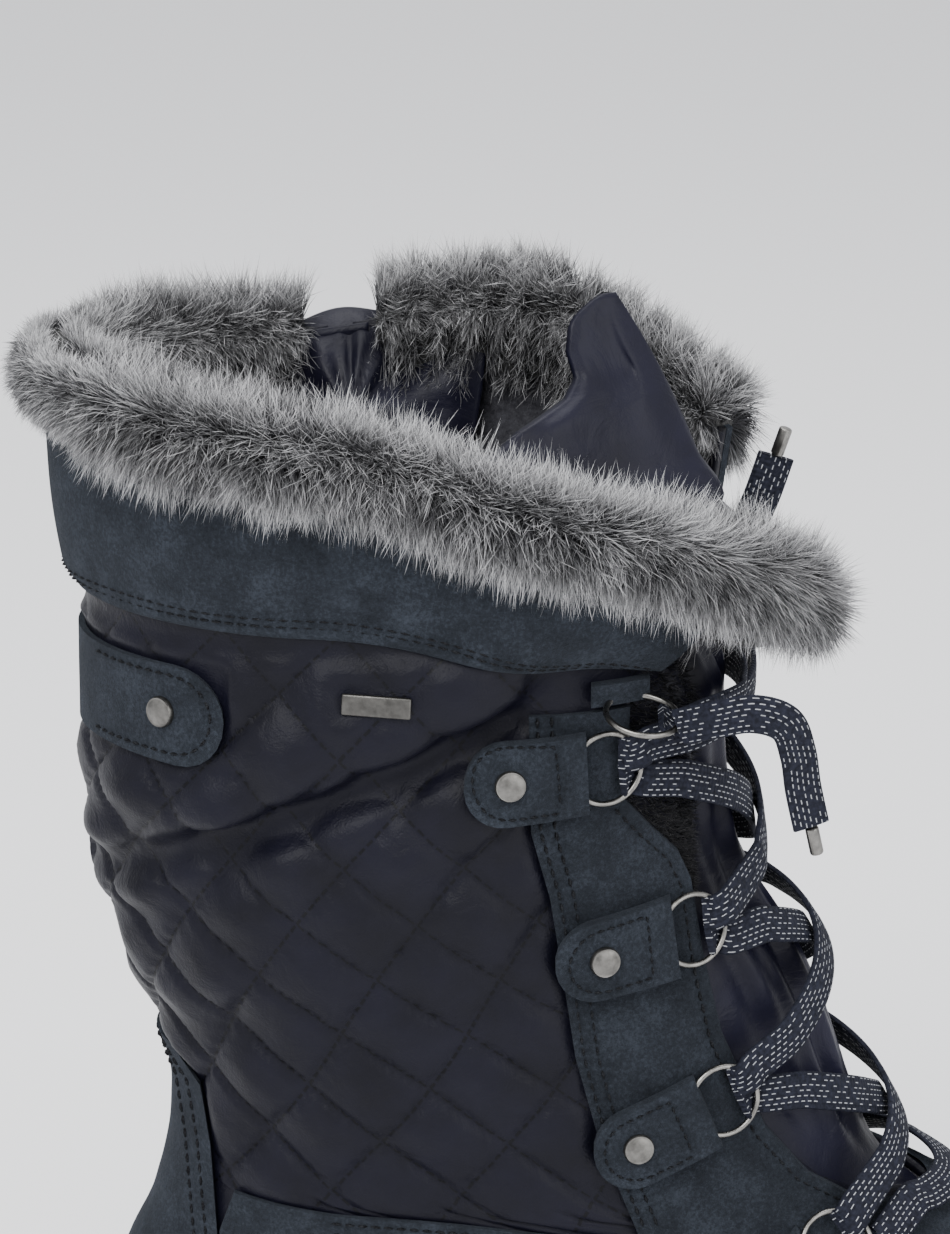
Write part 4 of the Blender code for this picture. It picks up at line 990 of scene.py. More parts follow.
def covered(point):
    """1 where suede lies over the quilting, 0 in the open."""
    x, z = point[..., 0], point[..., 2]
    margin = 0.003
    stay = smooth(-margin, 0.0, x - between(line_of(EYESTAY_BACK), z))
    cuff = smooth(-margin, 0.002, z - z_of(0.852))
    edge = line_of(COUNTER_EDGE)
    counter = 1.0 - smooth(0.0, margin, x - between(edge, z))
    counter = counter * (1.0 - smooth(-0.004, margin, z - edge[0][1]))
    foot = 1.0 - smooth(-0.002, 0.004, z - between_x(line_of(QUARTER_TOP), x))
    strap = 1.0 - smooth(0.0, margin, x - x_of(STRAP_END))
    strap = strap * smooth(-0.004, 0.0, z - z_of(STRAP_FOOT))
    strap = strap * (1.0 - smooth(0.0, 0.004, z - z_of(STRAP_TOP)))
    plate_x, plate_z = at(PLATE_AT)
    plate = (1.0 - smooth(0.0, 0.004, np.abs(x - plate_x) - PLATE_LENGTH / 2))
    plate = plate * (1.0 - smooth(0.0, 0.004, np.abs(z - plate_z) - PLATE_HEIGHT / 2))
    return np.clip(np.maximum.reduce((stay, cuff, counter, foot, strap, plate)), 0.0, 1.0)


# The tongue's satin top: its tip, and its near edge as x, z and y, from the rim up.
FLAP_TIP = (0.0735, 0.003, 0.2985)
FLAP_EDGE = (
    (0.0400, 0.2600, -0.030),
    (0.0440, 0.2690, -0.027),
    (0.0520, 0.2750, -0.022),
    (0.0620, 0.2795, -0.014),
    (0.0645, 0.2830, -0.010),
    (0.0630, 0.2880, -0.008),
    (0.0640, 0.2945, -0.006),
    (0.0665, 0.2990, -0.004),
)

# Lesser folds of the shaft on the outer side: two ends on the side view, depth and width.
Fold = namedtuple("Fold", "x0 z0 x1 z1 depth width")
FOLDS = (
    Fold(-0.036, 0.1740, 0.066, 0.2215, 0.0042, 0.0044),
    Fold(-0.038, 0.184, -0.010, 0.187, 0.0020, 0.0050),
    Fold(-0.034, 0.160, -0.008, 0.180, 0.0018, 0.0045),
    Fold(-0.030, 0.136, 0.004, 0.142, 0.0014, 0.0060),
    Fold(0.030, 0.176, 0.058, 0.186, 0.0013, 0.0050),
    Fold(-0.010, 0.112, 0.040, 0.104, 0.0012, 0.0070),
)


def folds(point):
    """How far the lesser folds pull the shaft in."""
    x, z = point[..., 0], point[..., 2]
    total = np.zeros(x.shape)
    for fold in FOLDS:
        run = np.array((fold.x1 - fold.x0, fold.z1 - fold.z0))
        length = np.linalg.norm(run)
        run = run / length
        share = ((x - fold.x0) * run[0] + (z - fold.z0) * run[1]) / length
        off = (z - fold.z0) * run[0] - (x - fold.x0) * run[1]
        fade = smooth(-0.25, 0.15, share) * (1.0 - smooth(0.85, 1.25, share))
        total += fade * fold.depth * (0.62 * np.exp(-(((off - 1.7 * fold.width) / fold.width) ** 2))
                                      - np.exp(-((off / fold.width) ** 2)))
    return total * (point[..., 1] < 0)


def shaft_sheet(name, t, u, finish):
    """One quilted sheet over a grid of t and u, with its puffs, folds and wall."""
    first, second = quilt_place(t, u)
    base = surface(t, u)
    gap = [np.abs(np.mod(count + 0.5, 1.0) - 0.5) for count in (first, second)]
    edge = np.minimum(*gap)
    puff = sizes().quilt_puff * (np.clip(gap[0] * 2, 0, 1) * np.clip(gap[1] * 2, 0, 1)) ** 0.42
    pinch = -0.0006 * np.exp(-((edge / 0.05) ** 2))
    ripple = 0.00022 * np.sin(first * 2 * math.pi * 4.1) * np.exp(-((edge / 0.14) ** 2))
    free = 1.0 - covered(base)
    lift = np.maximum(free * (puff + pinch + ripple + folds(base)), -0.7 * WALL)
    return sheet(name, t, u, lift, -0.9 * WALL, finish, np.stack((first, second), -1))


def shaft_grid(t, start, end, columns):
    """Grids of t and u, with u evenly between two edges in each row."""
    share = np.linspace(0.0, 1.0, columns)
    return np.repeat(t[:, None], columns, 1), start[:, None] + (end - start)[:, None] * share[None, :]


class BOOT_OT_shaft(bpy.types.Operator):
    """Quilted shaft with its diamonds, slouch folds and lining"""

    bl_idname = "boot.shaft"
    bl_label = "Shaft"

    def execute(self, context):
        under_cuff = CUFF_FOOT + 0.2
        foot_rows, leg_rows = np.linspace(0.0, 8.0, 22), np.linspace(8.0, under_cuff, 132)
        t = np.concatenate((foot_rows, leg_rows[1:], np.linspace(under_cuff, TOP, 10)[1:]))
        finish = quilt_finish()
        outer = throat_at(t, -1)
        inner = throat_at(t, 1)
        foot = z_of(ZIP_FOOT)
        middle = column_at(ZIP_X, t)
        height = surface(t, -middle)[:, 2]
        slot = smooth(foot - 0.001, foot + 0.003, height)
        back = column_at(ZIP_X - ZIP_SLOT / 2, t) * slot + middle * (1 - slot)
        ahead = column_at(ZIP_X + ZIP_SLOT / 2, t) * slot + middle * (1 - slot)
        rear = shaft_sheet("shaft_rear", *shaft_grid(t, -back, outer, 156), finish)
        front = shaft_sheet("shaft_front", *shaft_grid(t, -inner, -ahead, 50), finish)
        settle(rear, "navy_quilt", "upper")
        settle(front, "navy_quilt", "upper")
        rows = np.linspace(0.3, TOP - 0.15, 70)
        lining = lining_finish()
        for name, start, end, columns in (
            ("lining_rear", -column_at(ZIP_X - LINING_OPEN, rows), throat_at(rows, -1) - 0.12, 80),
            ("lining_front", -throat_at(rows, 1) + 0.12, -column_at(ZIP_X + LINING_OPEN, rows), 30),
        ):
            tt, uu = shaft_grid(rows, start, end, columns)
            depth = -WALL - 0.0002
            settle(sheet(name, tt, uu, depth, depth - LINING_THICKNESS, lining), "fleece_lining")
        paint("insole", lining)
        return {"FINISHED"}


def paint(node, finish):
    """A carried over part with a better finish."""
    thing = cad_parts[node]
    for slot in thing.material_slots:
        slot.material = finish


# Suede


SHEET_FOOT = 0.2


def suede_sheet(name, t0, t1, u0, u1, rows, columns, near, thickness, finish, puffed=0.0):
    t, u = np.meshgrid(np.linspace(t0, t1, rows), np.linspace(u0, u1, columns), indexing="ij")
    wave = puffed * (np.sin(u * 2.1 + 0.7 * t) + 0.6 * np.sin(u * 5.3 + 1.0))
    return sheet(name, t, u, near + thickness + wave, near, finish)


def stitch_rows(name, rows, finish, pitch=None, radius=0.00056):
    """Raised stitches along rows of surface points, each row as (points, outs)."""
    pitch = pitch or sizes().stitch_pitch
    points, faces = [], []
    for line, outs in rows:
        run = run_along(line)
        for index in range(max(int(run[-1] / pitch), 1)):
            starts = (index * pitch + 0.14 * pitch, (index + 0.5) * pitch, (index + 0.86) * pitch)
            marks = np.stack([np.interp(starts, run, line[:, k]) for k in range(3)], -1)
            out = unit(np.array([np.interp(starts[1], run, outs[:, k]) for k in range(3)]))
            way = unit(marks[2] - marks[0])
            side = np.cross(way, out)
            base = len(points)
            for mark, size in zip(marks, (0.35, 1.0, 0.35)):
                low = mark - out * radius * 0.8
                points += [low - side * radius * size, mark + out * radius * size, low + side * radius * size]
            for level in range(2):
                for i in range(3):
                    j = (i + 1) % 3
                    a = base + level * 3
                    faces.append((a + i, a + j, a + 3 + j, a + 3 + i))
    thing = mesh_of(name, np.array(points), np.array(faces)[:, ::-1], finish)
    return settle(thing, "navy_suede")


def seam_line(spots, side, lift, samples=160):
    """Points and outward directions over a side view line on the upper."""
    line = np.array(spots)
    steps = run_along(line)
    even = np.linspace(0.0, steps[-1], samples)
    x, z = np.interp(even, steps, line[:, 0]), np.interp(even, steps, line[:, 1])
    t, u = find(x, z, side)
    out = normal(t, u)
    return surface(t, u) + out * lift, out


def shifted(line, dx, dz=0.0):
    return [(x + dx, z + dz) for x, z in line]


def rounded_strip(x0, x1, z0, z1, steps=12):
    radius = (z1 - z0) / 2
    arc = []
    for i in range(steps + 1):
        angle = -math.pi / 2 + math.pi * i / steps
        arc.append((x1 - radius + radius * math.cos(angle), z0 + radius + radius * math.sin(angle)))
    return [(x0, z0)] + arc + [(x0, z1)]


def throat_prism():
    edge = line_of(THROAT)
    return prism(edge + [(edge[-1][0] + 0.2, edge[-1][1]), (edge[-1][0] + 0.2, edge[0][1])])


def behind_bar(fastening, strip):
    """Side view places of a strip that runs backward from the ring's bar, turned with the tab."""
    x, z = at((fastening.bar_x, fastening.bar_z))
    angle = math.radians(fastening.tilt)
    ahead, up = math.cos(angle), math.sin(angle)
    return [(x - a * ahead - b * up, z - a * up + b * ahead) for a, b in strip]


def tab_outline(fastening):
    """The tab's side view: a strip from just past the ring's bar to a round end behind it."""
    if fastening.rivet:
        tail = fastening.reach + TAB_HEIGHT / 2
        strip = rounded_strip(-TAB_OVER_RING, tail, -TAB_HEIGHT / 2, TAB_HEIGHT / 2)
    else:
        half = RING_RADIUS * 0.8
        strip = [(-RING_SEAT, -half), (fastening.reach, -half), (fastening.reach, half), (-RING_SEAT, half)]
    return behind_bar(fastening, strip)


class BOOT_OT_suede(bpy.types.Operator):
    """Suede cuff, eyestays, counter, quarters, vamp, strap and tabs"""

    bl_idname = "boot.suede"
    bl_label = "Suede"

    def execute(self, context):
        finish = suede_finish()
        dark = suede_finish("suede_eyestay", 0.88)
        self.foot(finish)
        self.cuffs(finish)
        for side, label in ((-1, "outer"), (1, "inner")):
            self.eyestay(side, label, dark)
            self.tabs(side, label, finish)
        strap_line = rounded_strip(HEEL_BACK - 0.05, x_of(STRAP_END), z_of(STRAP_FOOT), z_of(STRAP_TOP))
        strap = suede_sheet("back_strap_suede", 14, 17.3, -6.0, 6.0, 40, 130, GAP, SUEDE, finish)
        cut(strap, prism(strap_line), "INTERSECT")
        settle(shade(strap), "navy_suede", "back_strap")
        return {"FINISHED"}

    def foot(self, finish):
        low = z_of(-0.2)
        past_toe = x_of(1.2)
        edge, seam, top = line_of(COUNTER_EDGE), line_of(VAMP_SEAM), line_of(QUARTER_TOP)
        counter = suede_sheet("counter_suede", SHEET_FOOT, 12, -6.5, 6.5, 70, 120, GAP, SUEDE, finish)
        behind = [(HEEL_BACK - 0.05, low), (HEEL_BACK - 0.05, edge[0][1])]
        cut(counter, prism(edge + behind), "INTERSECT", "FAST")
        settle(shade(counter), "navy_suede", "heel_counter")
        vamp = suede_sheet("vamp_suede", SHEET_FOOT, 9, 6.5, 21.5, 60, 150, GAP, SUEDE, finish)
        ahead = [(past_toe, low), (past_toe, seam[0][1])]
        cut(vamp, prism(seam + ahead), "INTERSECT")
        cut(vamp, throat_prism(), "DIFFERENCE")
        settle(shade(vamp), "navy_suede", "vamp")
        before = shifted([p for p in edge if p[1] < top[0][1]], 2 * GAP)
        after = shifted([p for p in seam if p[1] < top[-1][1]], -2 * GAP)
        outline = top + after + list(reversed(before))
        for side, label in ((-1, "outer"), (1, "inner")):
            ends = (2.0, 10.5) if side < 0 else (-10.5, -2.0)
            quarter = suede_sheet(f"quarter_suede_{label}", SHEET_FOOT, 9, *ends, 60, 110, GAP, SUEDE, finish)
            cut(quarter, prism(outline), "INTERSECT", "FAST")
            settle(shade(quarter), "navy_suede", f"quarter_{label}")

    def cuffs(self, finish):
        """The cuff, rolled a little at its foot, split at the zip and the throat."""
        rolled = CUFF_FOOT + 0.35
        t = np.concatenate((np.linspace(CUFF_FOOT, rolled, 10), np.linspace(rolled, TOP, 40)[1:]))
        half = ZIP_GAP_IN_CUFF / 2
        rows = (
            ("cuff_suede_outer", -column_at(ZIP_X - half, t), throat_at(t, -1), 150, "cuff_outer"),
            ("cuff_suede_inner", -throat_at(t, 1), -column_at(ZIP_X + half, t), 90, "cuff_inner"),
        )
        for name, start, end, columns, node in rows:
            tt, uu = shaft_grid(t, start, end, columns)
            roll = np.sqrt(np.clip(1 - (1 - np.clip((tt - CUFF_FOOT) / 0.22, 0, 1)) ** 2, 0, 1))
            wave = 0.0005 * np.sin(uu * 1.7 + 0.4) * smooth(CUFF_FOOT, CUFF_FOOT + 1.0, tt)
            far = GAP + SUEDE * (0.55 + 0.75 * roll) + wave + 0.0003
            piece = sheet(name, tt, uu, far, GAP, finish)
            settle(shade(piece, 50.0), "navy_suede", node)

    def eyestay(self, side, label, finish):
        back, foot = line_of(EYESTAY_BACK), line_of(EYESTAY_FOOT)
        seam = [p for p in line_of(VAMP_SEAM) if p[1] > foot[-1][1]]
        seam = shifted(list(reversed(seam)), -2 * GAP)
        outline = back + foot + seam + [(x_of(0.70), back[0][1])]
        ends = (6.0, 14.0) if side < 0 else (-14.0, -6.0)
        piece = suede_sheet(f"eyestay_suede_{label}", 4, CUFF_FOOT, *ends, 170, 90, GAP, SUEDE, finish,
                            puffed=EYESTAY_WAVE)
        cut(piece, prism(outline), "INTERSECT")
        cut(piece, throat_prism(), "DIFFERENCE")
        settle(shade(piece), "navy_suede", f"eyestay_{label}")

    def tabs(self, side, label, finish):
        for fastening in FASTENINGS:
            near = tab_seat(fastening)
            t, u = find_one(*at((fastening.bar_x, fastening.bar_z)), side)
            t0, t1 = max(t - 3.0, 0.0), min(t + 3.0, CUFF_FOOT - 0.01)
            piece = suede_sheet(f"tab_suede_{fastening.name}_{label}", t0, t1, u - 3.6, u + 2.6, 60, 60,
                                near, TAB_THICKNESS + 0.0002, finish)
            cut(piece, prism(tab_outline(fastening)), "INTERSECT")
            settle(shade(piece), "navy_suede", f"tab_{fastening.name}_{label}")


class BOOT_OT_stitching(bpy.types.Operator):
    """Rows of raised stitches on the suede"""

    bl_idname = "boot.stitching"
    bl_label = "Stitching"

    def execute(self, context):
        # The stitches' near-black colour is partly painted shade of their holes.
        thread = thread_and_hole_shade_finish()
        lift = GAP + SUEDE + 0.0002
        rows = []
        half = ZIP_GAP_IN_CUFF / 2
        for height in (CUFF_FOOT + 0.42, CUFF_FOOT + 0.86):
            one = np.array([height])
            for start, end in (
                (float(-column_at(ZIP_X - half, one)[0]), float(throat_at(one, -1)[0])),
                (float(-throat_at(one, 1)[0]), float(-column_at(ZIP_X + half, one)[0])),
            ):
                u = np.linspace(start + 0.15, end - 0.15, 400)
                out = normal(height, u)
                wave = 0.00055 + 0.0005 * np.sin(u * 1.7 + 0.4)[:, None]
                rows.append((surface(height, u) + out * (lift + wave), out))
        back = line_of(EYESTAY_BACK)
        throat = [p for p in line_of(THROAT) if p[1] < z_of(0.700)][:-2]
        counter = line_of(COUNTER_EDGE)[:-1]
        seam = line_of(VAMP_SEAM)[1:-1]
        top = line_of(QUARTER_TOP)
        for side in (-1, 1):
            for distance in (0.0016, 0.0046):
                rows.append(seam_line(shifted(back, distance), side, lift))
            rows.append(seam_line(shifted(throat, -0.0034, -0.0012), side, lift))
            for distance in (-0.0016, -0.0044):
                rows.append(seam_line(shifted(counter, distance), side, lift, 100))
                rows.append(seam_line(shifted(seam, -distance), side, lift, 60))
                rows.append(seam_line(shifted(top, 0.0, distance)[1:], side, lift, 120))
            strap = rounded_strip(HEEL_BACK + 0.003, x_of(STRAP_END) - STRAP_SEAM_IN,
                                  z_of(STRAP_FOOT) + STRAP_SEAM_IN, z_of(STRAP_TOP) - STRAP_SEAM_IN)
            rows.append(seam_line(strap, side, lift, 140))
        stitch_rows("seam_stitches", rows, thread)
        boxes = [self.box(fastening, side) for side in (-1, 1) for fastening in FASTENINGS[1:]]
        stitch_rows("tab_stitches", boxes, thread, 0.0024, 0.00048)
        return {"FINISHED"}

    def box(self, fastening, side):
        """The stitched box round a tab's rivet."""
        half = TAB_HEIGHT / 2 - TAB_SEAM_IN
        tail = fastening.reach + TAB_HEIGHT / 2 - TAB_SEAM_IN
        strip = rounded_strip(0.0035, tail, -half, half)
        line = behind_bar(fastening, strip + strip[:1])
        return seam_line(line, side, tab_seat(fastening) + TAB_THICKNESS + 0.0004)


# Sole


class BOOT_OT_sole(bpy.types.Operator):
    """Rubber outsole with side ribs, arch and lugs"""

    bl_idname = "boot.sole"
    bl_label = "Sole"

    def execute(self, context):
        columns = 224
        u = np.linspace(0, AROUND, columns, endpoint=False)
        base = surface(0.0, u)
        out = normal(0.0, u)
        out[:, 2] = 0.0
        out = unit(out)
        profile = (
            (0.000, -0.0022), (0.030, -0.0010), (0.080, 0.0), (0.350, 0.0), (0.375, -0.0004),
            (0.390, -SIDE_GROOVE), (0.510, -SIDE_GROOVE), (0.525, -0.0004), (0.550, 0.0),
            (0.790, 0.0), (0.815, -0.0003), (0.830, -SIDE_GROOVE / 2), (0.970, -SIDE_GROOVE / 2),
            (1.000, -SIDE_GROOVE / 2 - 0.0004),
        )
        rings = []
        steps = np.linalg.norm(np.diff(base, axis=0, append=base[:1]), axis=1)
        ribs = np.cos(np.cumsum(steps) / RIB_PITCH * 2 * math.pi)
        for share, push in profile:
            deep = RIB_DEPTH * np.clip(ribs * 2, -1, 1) if 0.1 < share < 0.36 else 0.0 * ribs
            ring = base + out * (SOLE_LEDGE + push + deep)[:, None]
            bottom, top = sole_bottom(ring[:, 0]), sole_top(ring[:, 0])
            ring[:, 2] = bottom + share * (top - bottom)
            rings.append(ring)
        sole = self.closed(np.array(rings), rubber_finish())
        under = -0.01
        start, end = x_of(0.335), x_of(0.560)
        arch = [(start - 0.002, under)]
        for i in range(21):
            rise = ARCH_RISE * math.sin(math.pi * (i / 20) ** 0.6) ** 0.7
            arch.append((start + (end - start) * i / 20, rise))
        cut(sole, prism(arch + [(end + 0.004, under)]), "DIFFERENCE", "FAST")
        heel = [n * TREAD_PITCH for n in (-1.75, -0.75, 0.75, 1.75)]
        first = x_of(0.600)
        count = int((x_of(0.965) - first) / TREAD_PITCH) + 1
        for x in heel + [first + i * TREAD_PITCH for i in range(count)]:
            z = float(sole_bottom(x)) + TREAD_DEPTH
            side = TREAD_GROOVE / 2
            groove = [(x - side, under), (x + side, under), (x + 0.8 * side, z), (x - 0.8 * side, z)]
            cut(sole, prism(groove), "DIFFERENCE", "FAST")
        back, front, top = HEEL_BACK - 0.03, x_of(1.2), 0.8 * TREAD_DEPTH
        box = [(back, under), (front, under), (front, top), (back, top)]
        for y in (-0.36, 0.36):
            centre = y * BALL_WIDTH / 2
            cutter = prism(box, centre - TREAD_GROOVE / 2, centre + TREAD_GROOVE / 2)
            cut(sole, cutter, "DIFFERENCE", "FAST")
        settle(shade(sole, 30.0), "black_rubber", "outsole")
        return {"FINISHED"}

    def closed(self, rings, finish):
        """A closed solid from loops round the foot, with ribbed lids."""
        levels, columns = rings.shape[:2]
        wall = grid_faces(levels, columns, True)
        faces = [wall[:, :3], wall[:, (0, 2, 3)]]
        lids = []
        for i in range(columns // 2):
            after, across = (columns - i) % columns, columns - i - 1
            lids += [(i, i + 1, across)] + ([(i, across, after)] if i else [])
        lids = np.array([lid for lid in lids if len(set(lid)) == 3])
        top = (levels - 1) * columns
        faces += [lids + top, lids[:, ::-1]]
        thing = mesh_of("outsole_rubber", rings.reshape(-1, 3), np.concatenate(faces), finish)
        return edited(thing, bpy.ops.mesh.normals_make_consistent, inside=False)


# Tongue


def tongue_back(t):
    """How far the tongue leans back from the front at each section."""
    return TONGUE_LEAN * smooth(CUFF_FOOT - 1.2, CUFF_FOOT + 0.9, t)


class BOOT_OT_tongue(bpy.types.Operator):
    """Nylon tongue with its folds and the satin top inside the collar"""

    bl_idname = "boot.tongue"
    bl_label = "Tongue"

    def execute(self, context):
        rows = np.linspace(5.0, TOP, 120)
        columns = 91
        middle = AROUND / 2
        edge = np.minimum(throat_at(np.maximum(rows, 7.6), -1), middle - 1.2)
        run = np.linalg.norm(surface(rows, edge - 1.0) - surface(rows, edge), axis=-1)
        low = edge - TONGUE_UNDERLAP / run
        share = np.linspace(0.0, 1.0, columns)
        u = low[:, None] + 2 * (middle - low)[:, None] * share
        t = np.repeat(rows[:, None], columns, 1)
        inward = np.minimum(u, 2 * middle - u) - edge[:, None]
        half = np.maximum((middle - edge)[:, None] - 0.4, 0.6)
        bulge = TONGUE_BULGE * smooth(0.0, 1.0, (inward - 0.4) / half) * smooth(7.0, 9.5, t)
        out = normal(t, u)
        open_part = smooth(0.2, 1.4, inward) * smooth(7.4, 9.0, t)
        fold = 0.0010 * np.sin(u * 4.6 + 0.25 * t) + 0.0007 * np.sin(u * 8.3 - 0.3 * t + 1.3)
        fold = fold * open_part * (1.0 - 0.4 * smooth(17, 19, t))
        depth = bulge - tongue_back(t) - WALL - 2 * GAP
        face = surface(t, u) + out * (depth + fold)[..., None]
        under = surface(t, u) + out * (depth - TONGUE_THICKNESS)[..., None]
        flap_face, flap_under = self.flap(face[-1], under[-1], share)
        face = np.concatenate((face, flap_face))
        under = np.concatenate((under, flap_under))
        tongue = slab("tongue_nylon", face, under, satin_finish())
        settle(tongue, "navy_satin", "tongue")
        self.fleece()
        return {"FINISHED"}

    def flap(self, rim, rim_under, share):
        """The tongue's satin top, leaning back into the collar to a rounded tip."""
        lift = np.linspace(0.0, 1.0, 40)[1:, None]
        share = share[None, :]
        near = np.clip(1.0 - 2.0 * share, 0.0, 1.0)
        far = np.clip(2.0 * share - 1.0, 0.0, 1.0)
        centre = rim[len(rim) // 2]
        z = centre[2] + (FLAP_TIP[2] - centre[2]) * lift
        front = centre[0] + (FLAP_TIP[0] - centre[0]) * lift ** 1.1
        spots_x, spots_z, spots_y = zip(*FLAP_EDGE)
        edge_x, edge_y = np.interp(z, spots_z, spots_x), np.interp(z, spots_z, spots_y)
        round_off = np.sqrt(np.clip(1.0 - np.clip((lift - 0.86) / 0.15, 0.0, 1.0) ** 2, 0.0, 1.0))
        x = front + (edge_x - front) * near ** 1.3 * round_off - 0.010 * far * round_off * (1.0 - 0.4 * lift)
        y = FLAP_TIP[1] * lift + edge_y * near * round_off + 0.030 * far * round_off * (1.0 - lift) ** 0.8
        z = z - 0.004 * near ** 2 * (1.0 - lift)
        pinch = 0.0006 * np.exp(-(((z - 0.2835) / 0.0035) ** 2)) * np.exp(-(((near - 0.62) / 0.22) ** 2))
        crease = 0.0011 * np.sin(share * 23.0 + 3.0 * lift) * np.sin(math.pi * lift)
        shape = np.stack(np.broadcast_arrays(x + crease, y + pinch + crease, z), -1)
        blend = smooth(0.0, 0.22, lift)[..., None]
        plain = rim[None] + (np.array((0.0, 0.0, 1.0)) * (z - rim[None, :, 2])[..., None])
        shape = plain * (1.0 - blend) + shape * blend
        wall = (rim - rim_under)[None] * (0.9 * (1.0 - lift))[..., None]
        return shape, shape - np.array((0.0009, 0.0, 0.0)) - wall

    def fleece(self):
        """Short black fleece on the tongue beside the eyestay's front edge."""
        made = Finish("black_fleece", (0.006, 0.006, 0.007), 0.95, sheen=0.15)
        lot, length = made.pattern()
        made.colour(made.ramp(length, (0.0, (0.003, 0.003, 0.004)), (1.0, (0.014, 0.014, 0.017))))
        chance = np.random.default_rng(11)
        count = FLEECE_HAIRS
        t = chance.uniform(12.6, 17.6, count)
        edge = throat_at(t, -1)
        wide = 1.9 * smooth(12.4, 15.2, t)
        roots, outs = [], []
        for side in (1.0, -1.0):
            u = edge + wide * chance.uniform(-0.05, 1.0, count)
            u = np.minimum(u, AROUND / 2 - 0.4)
            out = normal(t, side * u)
            roots.append(surface(t, side * u) + out * (-WALL - tongue_back(t) + 0.0005)[:, None])
            outs.append(out)
        roots, outs = np.concatenate(roots), np.concatenate(outs)
        piece = strands("fleece", roots, outs, np.array((0.0, 0.0, 0.2)), FLEECE_LENGTH, FLEECE_WIDTH,
                        0.9, chance, made.material)
        settle(piece, "fleece_lining")


def strands(name, roots, outs, pull, length, width, curl, chance, finish,
            lengths=None, segments=3, tint=None):
    """Flat tapered hairs from roots, leaning by pull, with their own random lengths and curls."""
    count = len(roots)
    lengths = length * chance.uniform(0.55, 1.0, count) if lengths is None else lengths
    way = unit(outs + chance.normal(0.0, 0.30, (count, 3)))
    bend = np.broadcast_to(pull, (count, 3)) + chance.normal(0.0, 0.35 * curl, (count, 3))
    side = unit(np.cross(way, chance.normal(0.0, 1.0, (count, 3))))
    lot = chance.uniform(0.0, 1.0, count) if tint is None else tint
    points, shade_at = [], []
    place = roots.copy()
    for level in range(segments + 1):
        share = level / segments
        half = width * (1.0 - share ** 1.6) * 0.5
        if level < segments:
            points += [place - side * half, place + side * half]
            shade_at += [np.stack((lot, np.full(count, share)), -1)] * 2
        else:
            points.append(place)
            shade_at.append(np.stack((lot, np.ones(count)), -1))
        way = unit(way + bend * (1.0 / segments))
        place = place + way * (lengths / segments)[:, None]
    each = len(points)
    grid = np.stack(points, 1).reshape(-1, 3)
    uv = np.stack(shade_at, 1).reshape(-1, 2)
    start = np.arange(count)[:, None] * each
    tris = []
    for level in range(segments - 1):
        a = 2 * level
        tris += [start + np.array((a, a + 1, a + 3)), start + np.array((a, a + 3, a + 2))]
    a = 2 * (segments - 1)
    tris.append(start + np.array((a, a + 1, a + 2)))
    return mesh_of(name, grid, np.concatenate(tris), finish, uv)


# Fur

FUR_PROFILE = (
    (-0.55, -3.00, -0.9, -0.50),
    (-0.95, -0.10, -1.0, -0.55),
    (-1.00, 0.30, -1.0, 0.10),
    (-0.62, 0.74, -0.7, 0.75),
    (0.05, 0.92, -0.1, 1.0),
    (0.60, 0.78, 0.35, 0.95),
    (0.95, 0.36, 0.72, 0.35),
    (1.02, -0.22, 0.66, -0.40),
    (0.80, -0.75, 0.55, -0.85),
    (0.40, -1.05, 0.30, -1.00),
)


def rim_at(u):
    """The rim's places, outward directions and upward directions."""
    place, out = surface(TOP, u), normal(TOP, u)
    rise = unit(surface(TOP, u) - surface(TOP - 1.0, u))
    return place, out, rise


def fur_section(place, out, rise, around, size):
    """Places and hair directions on the fur's body, around from its inner side over the top."""
    row = cubic(FUR_PROFILE, around * (len(FUR_PROFILE) - 1))
    slot = WALL + 3 * GAP
    side, high, side_way, high_way = (row[..., i] for i in range(4))
    across = np.where(side < 0, side * FUR_IN * 0.5 - slot, side * FUR_OUT * 0.38 + slot) * size
    up = np.where(high < 0, high * FUR_HANG * 0.62, high * FUR_RISE * 0.5) * size
    points = place + out * across[..., None] + rise * up[..., None]
    return points, unit(out * side_way[..., None] + rise * high_way[..., None])


def fur_path(start, end, nose, share):
    """The rim's frame at each share from start to end, drawn out past the end by its nose."""
    turns = np.clip(share / 0.90, 0.0, 1.0)
    u = start + (end - start) * turns
    place, out, rise = rim_at(u)
    last = rim_at(np.array([end]))
    before = rim_at(np.array([end - 0.2 * np.sign(end - start)]))
    ahead = unit(unit(last[0] - before[0]) + FUR_TURN * last[1])
    beyond = np.clip((share - 0.90) / 0.10, 0.0, 1.0)
    place = place + ahead * (nose * beyond)[..., None]
    place[..., 2] -= FUR_DROOP * nose * beyond ** 2
    size = np.sqrt(np.clip(1.0 - 0.85 * beyond ** 3, 0.0, 1.0)) * (0.72 + 0.28 * smooth(0.0, 0.05, share))
    size = size * (1.0 + 0.16 * smooth(0.80, 0.93, share) * (nose > 0.01))
    return place, out, rise, size, beyond[..., None] * ahead


def step_at(x, side):
    u = column_at(x, np.array([float(TOP)]), side)[0]
    return float(u) if side < 0 else -float(u)


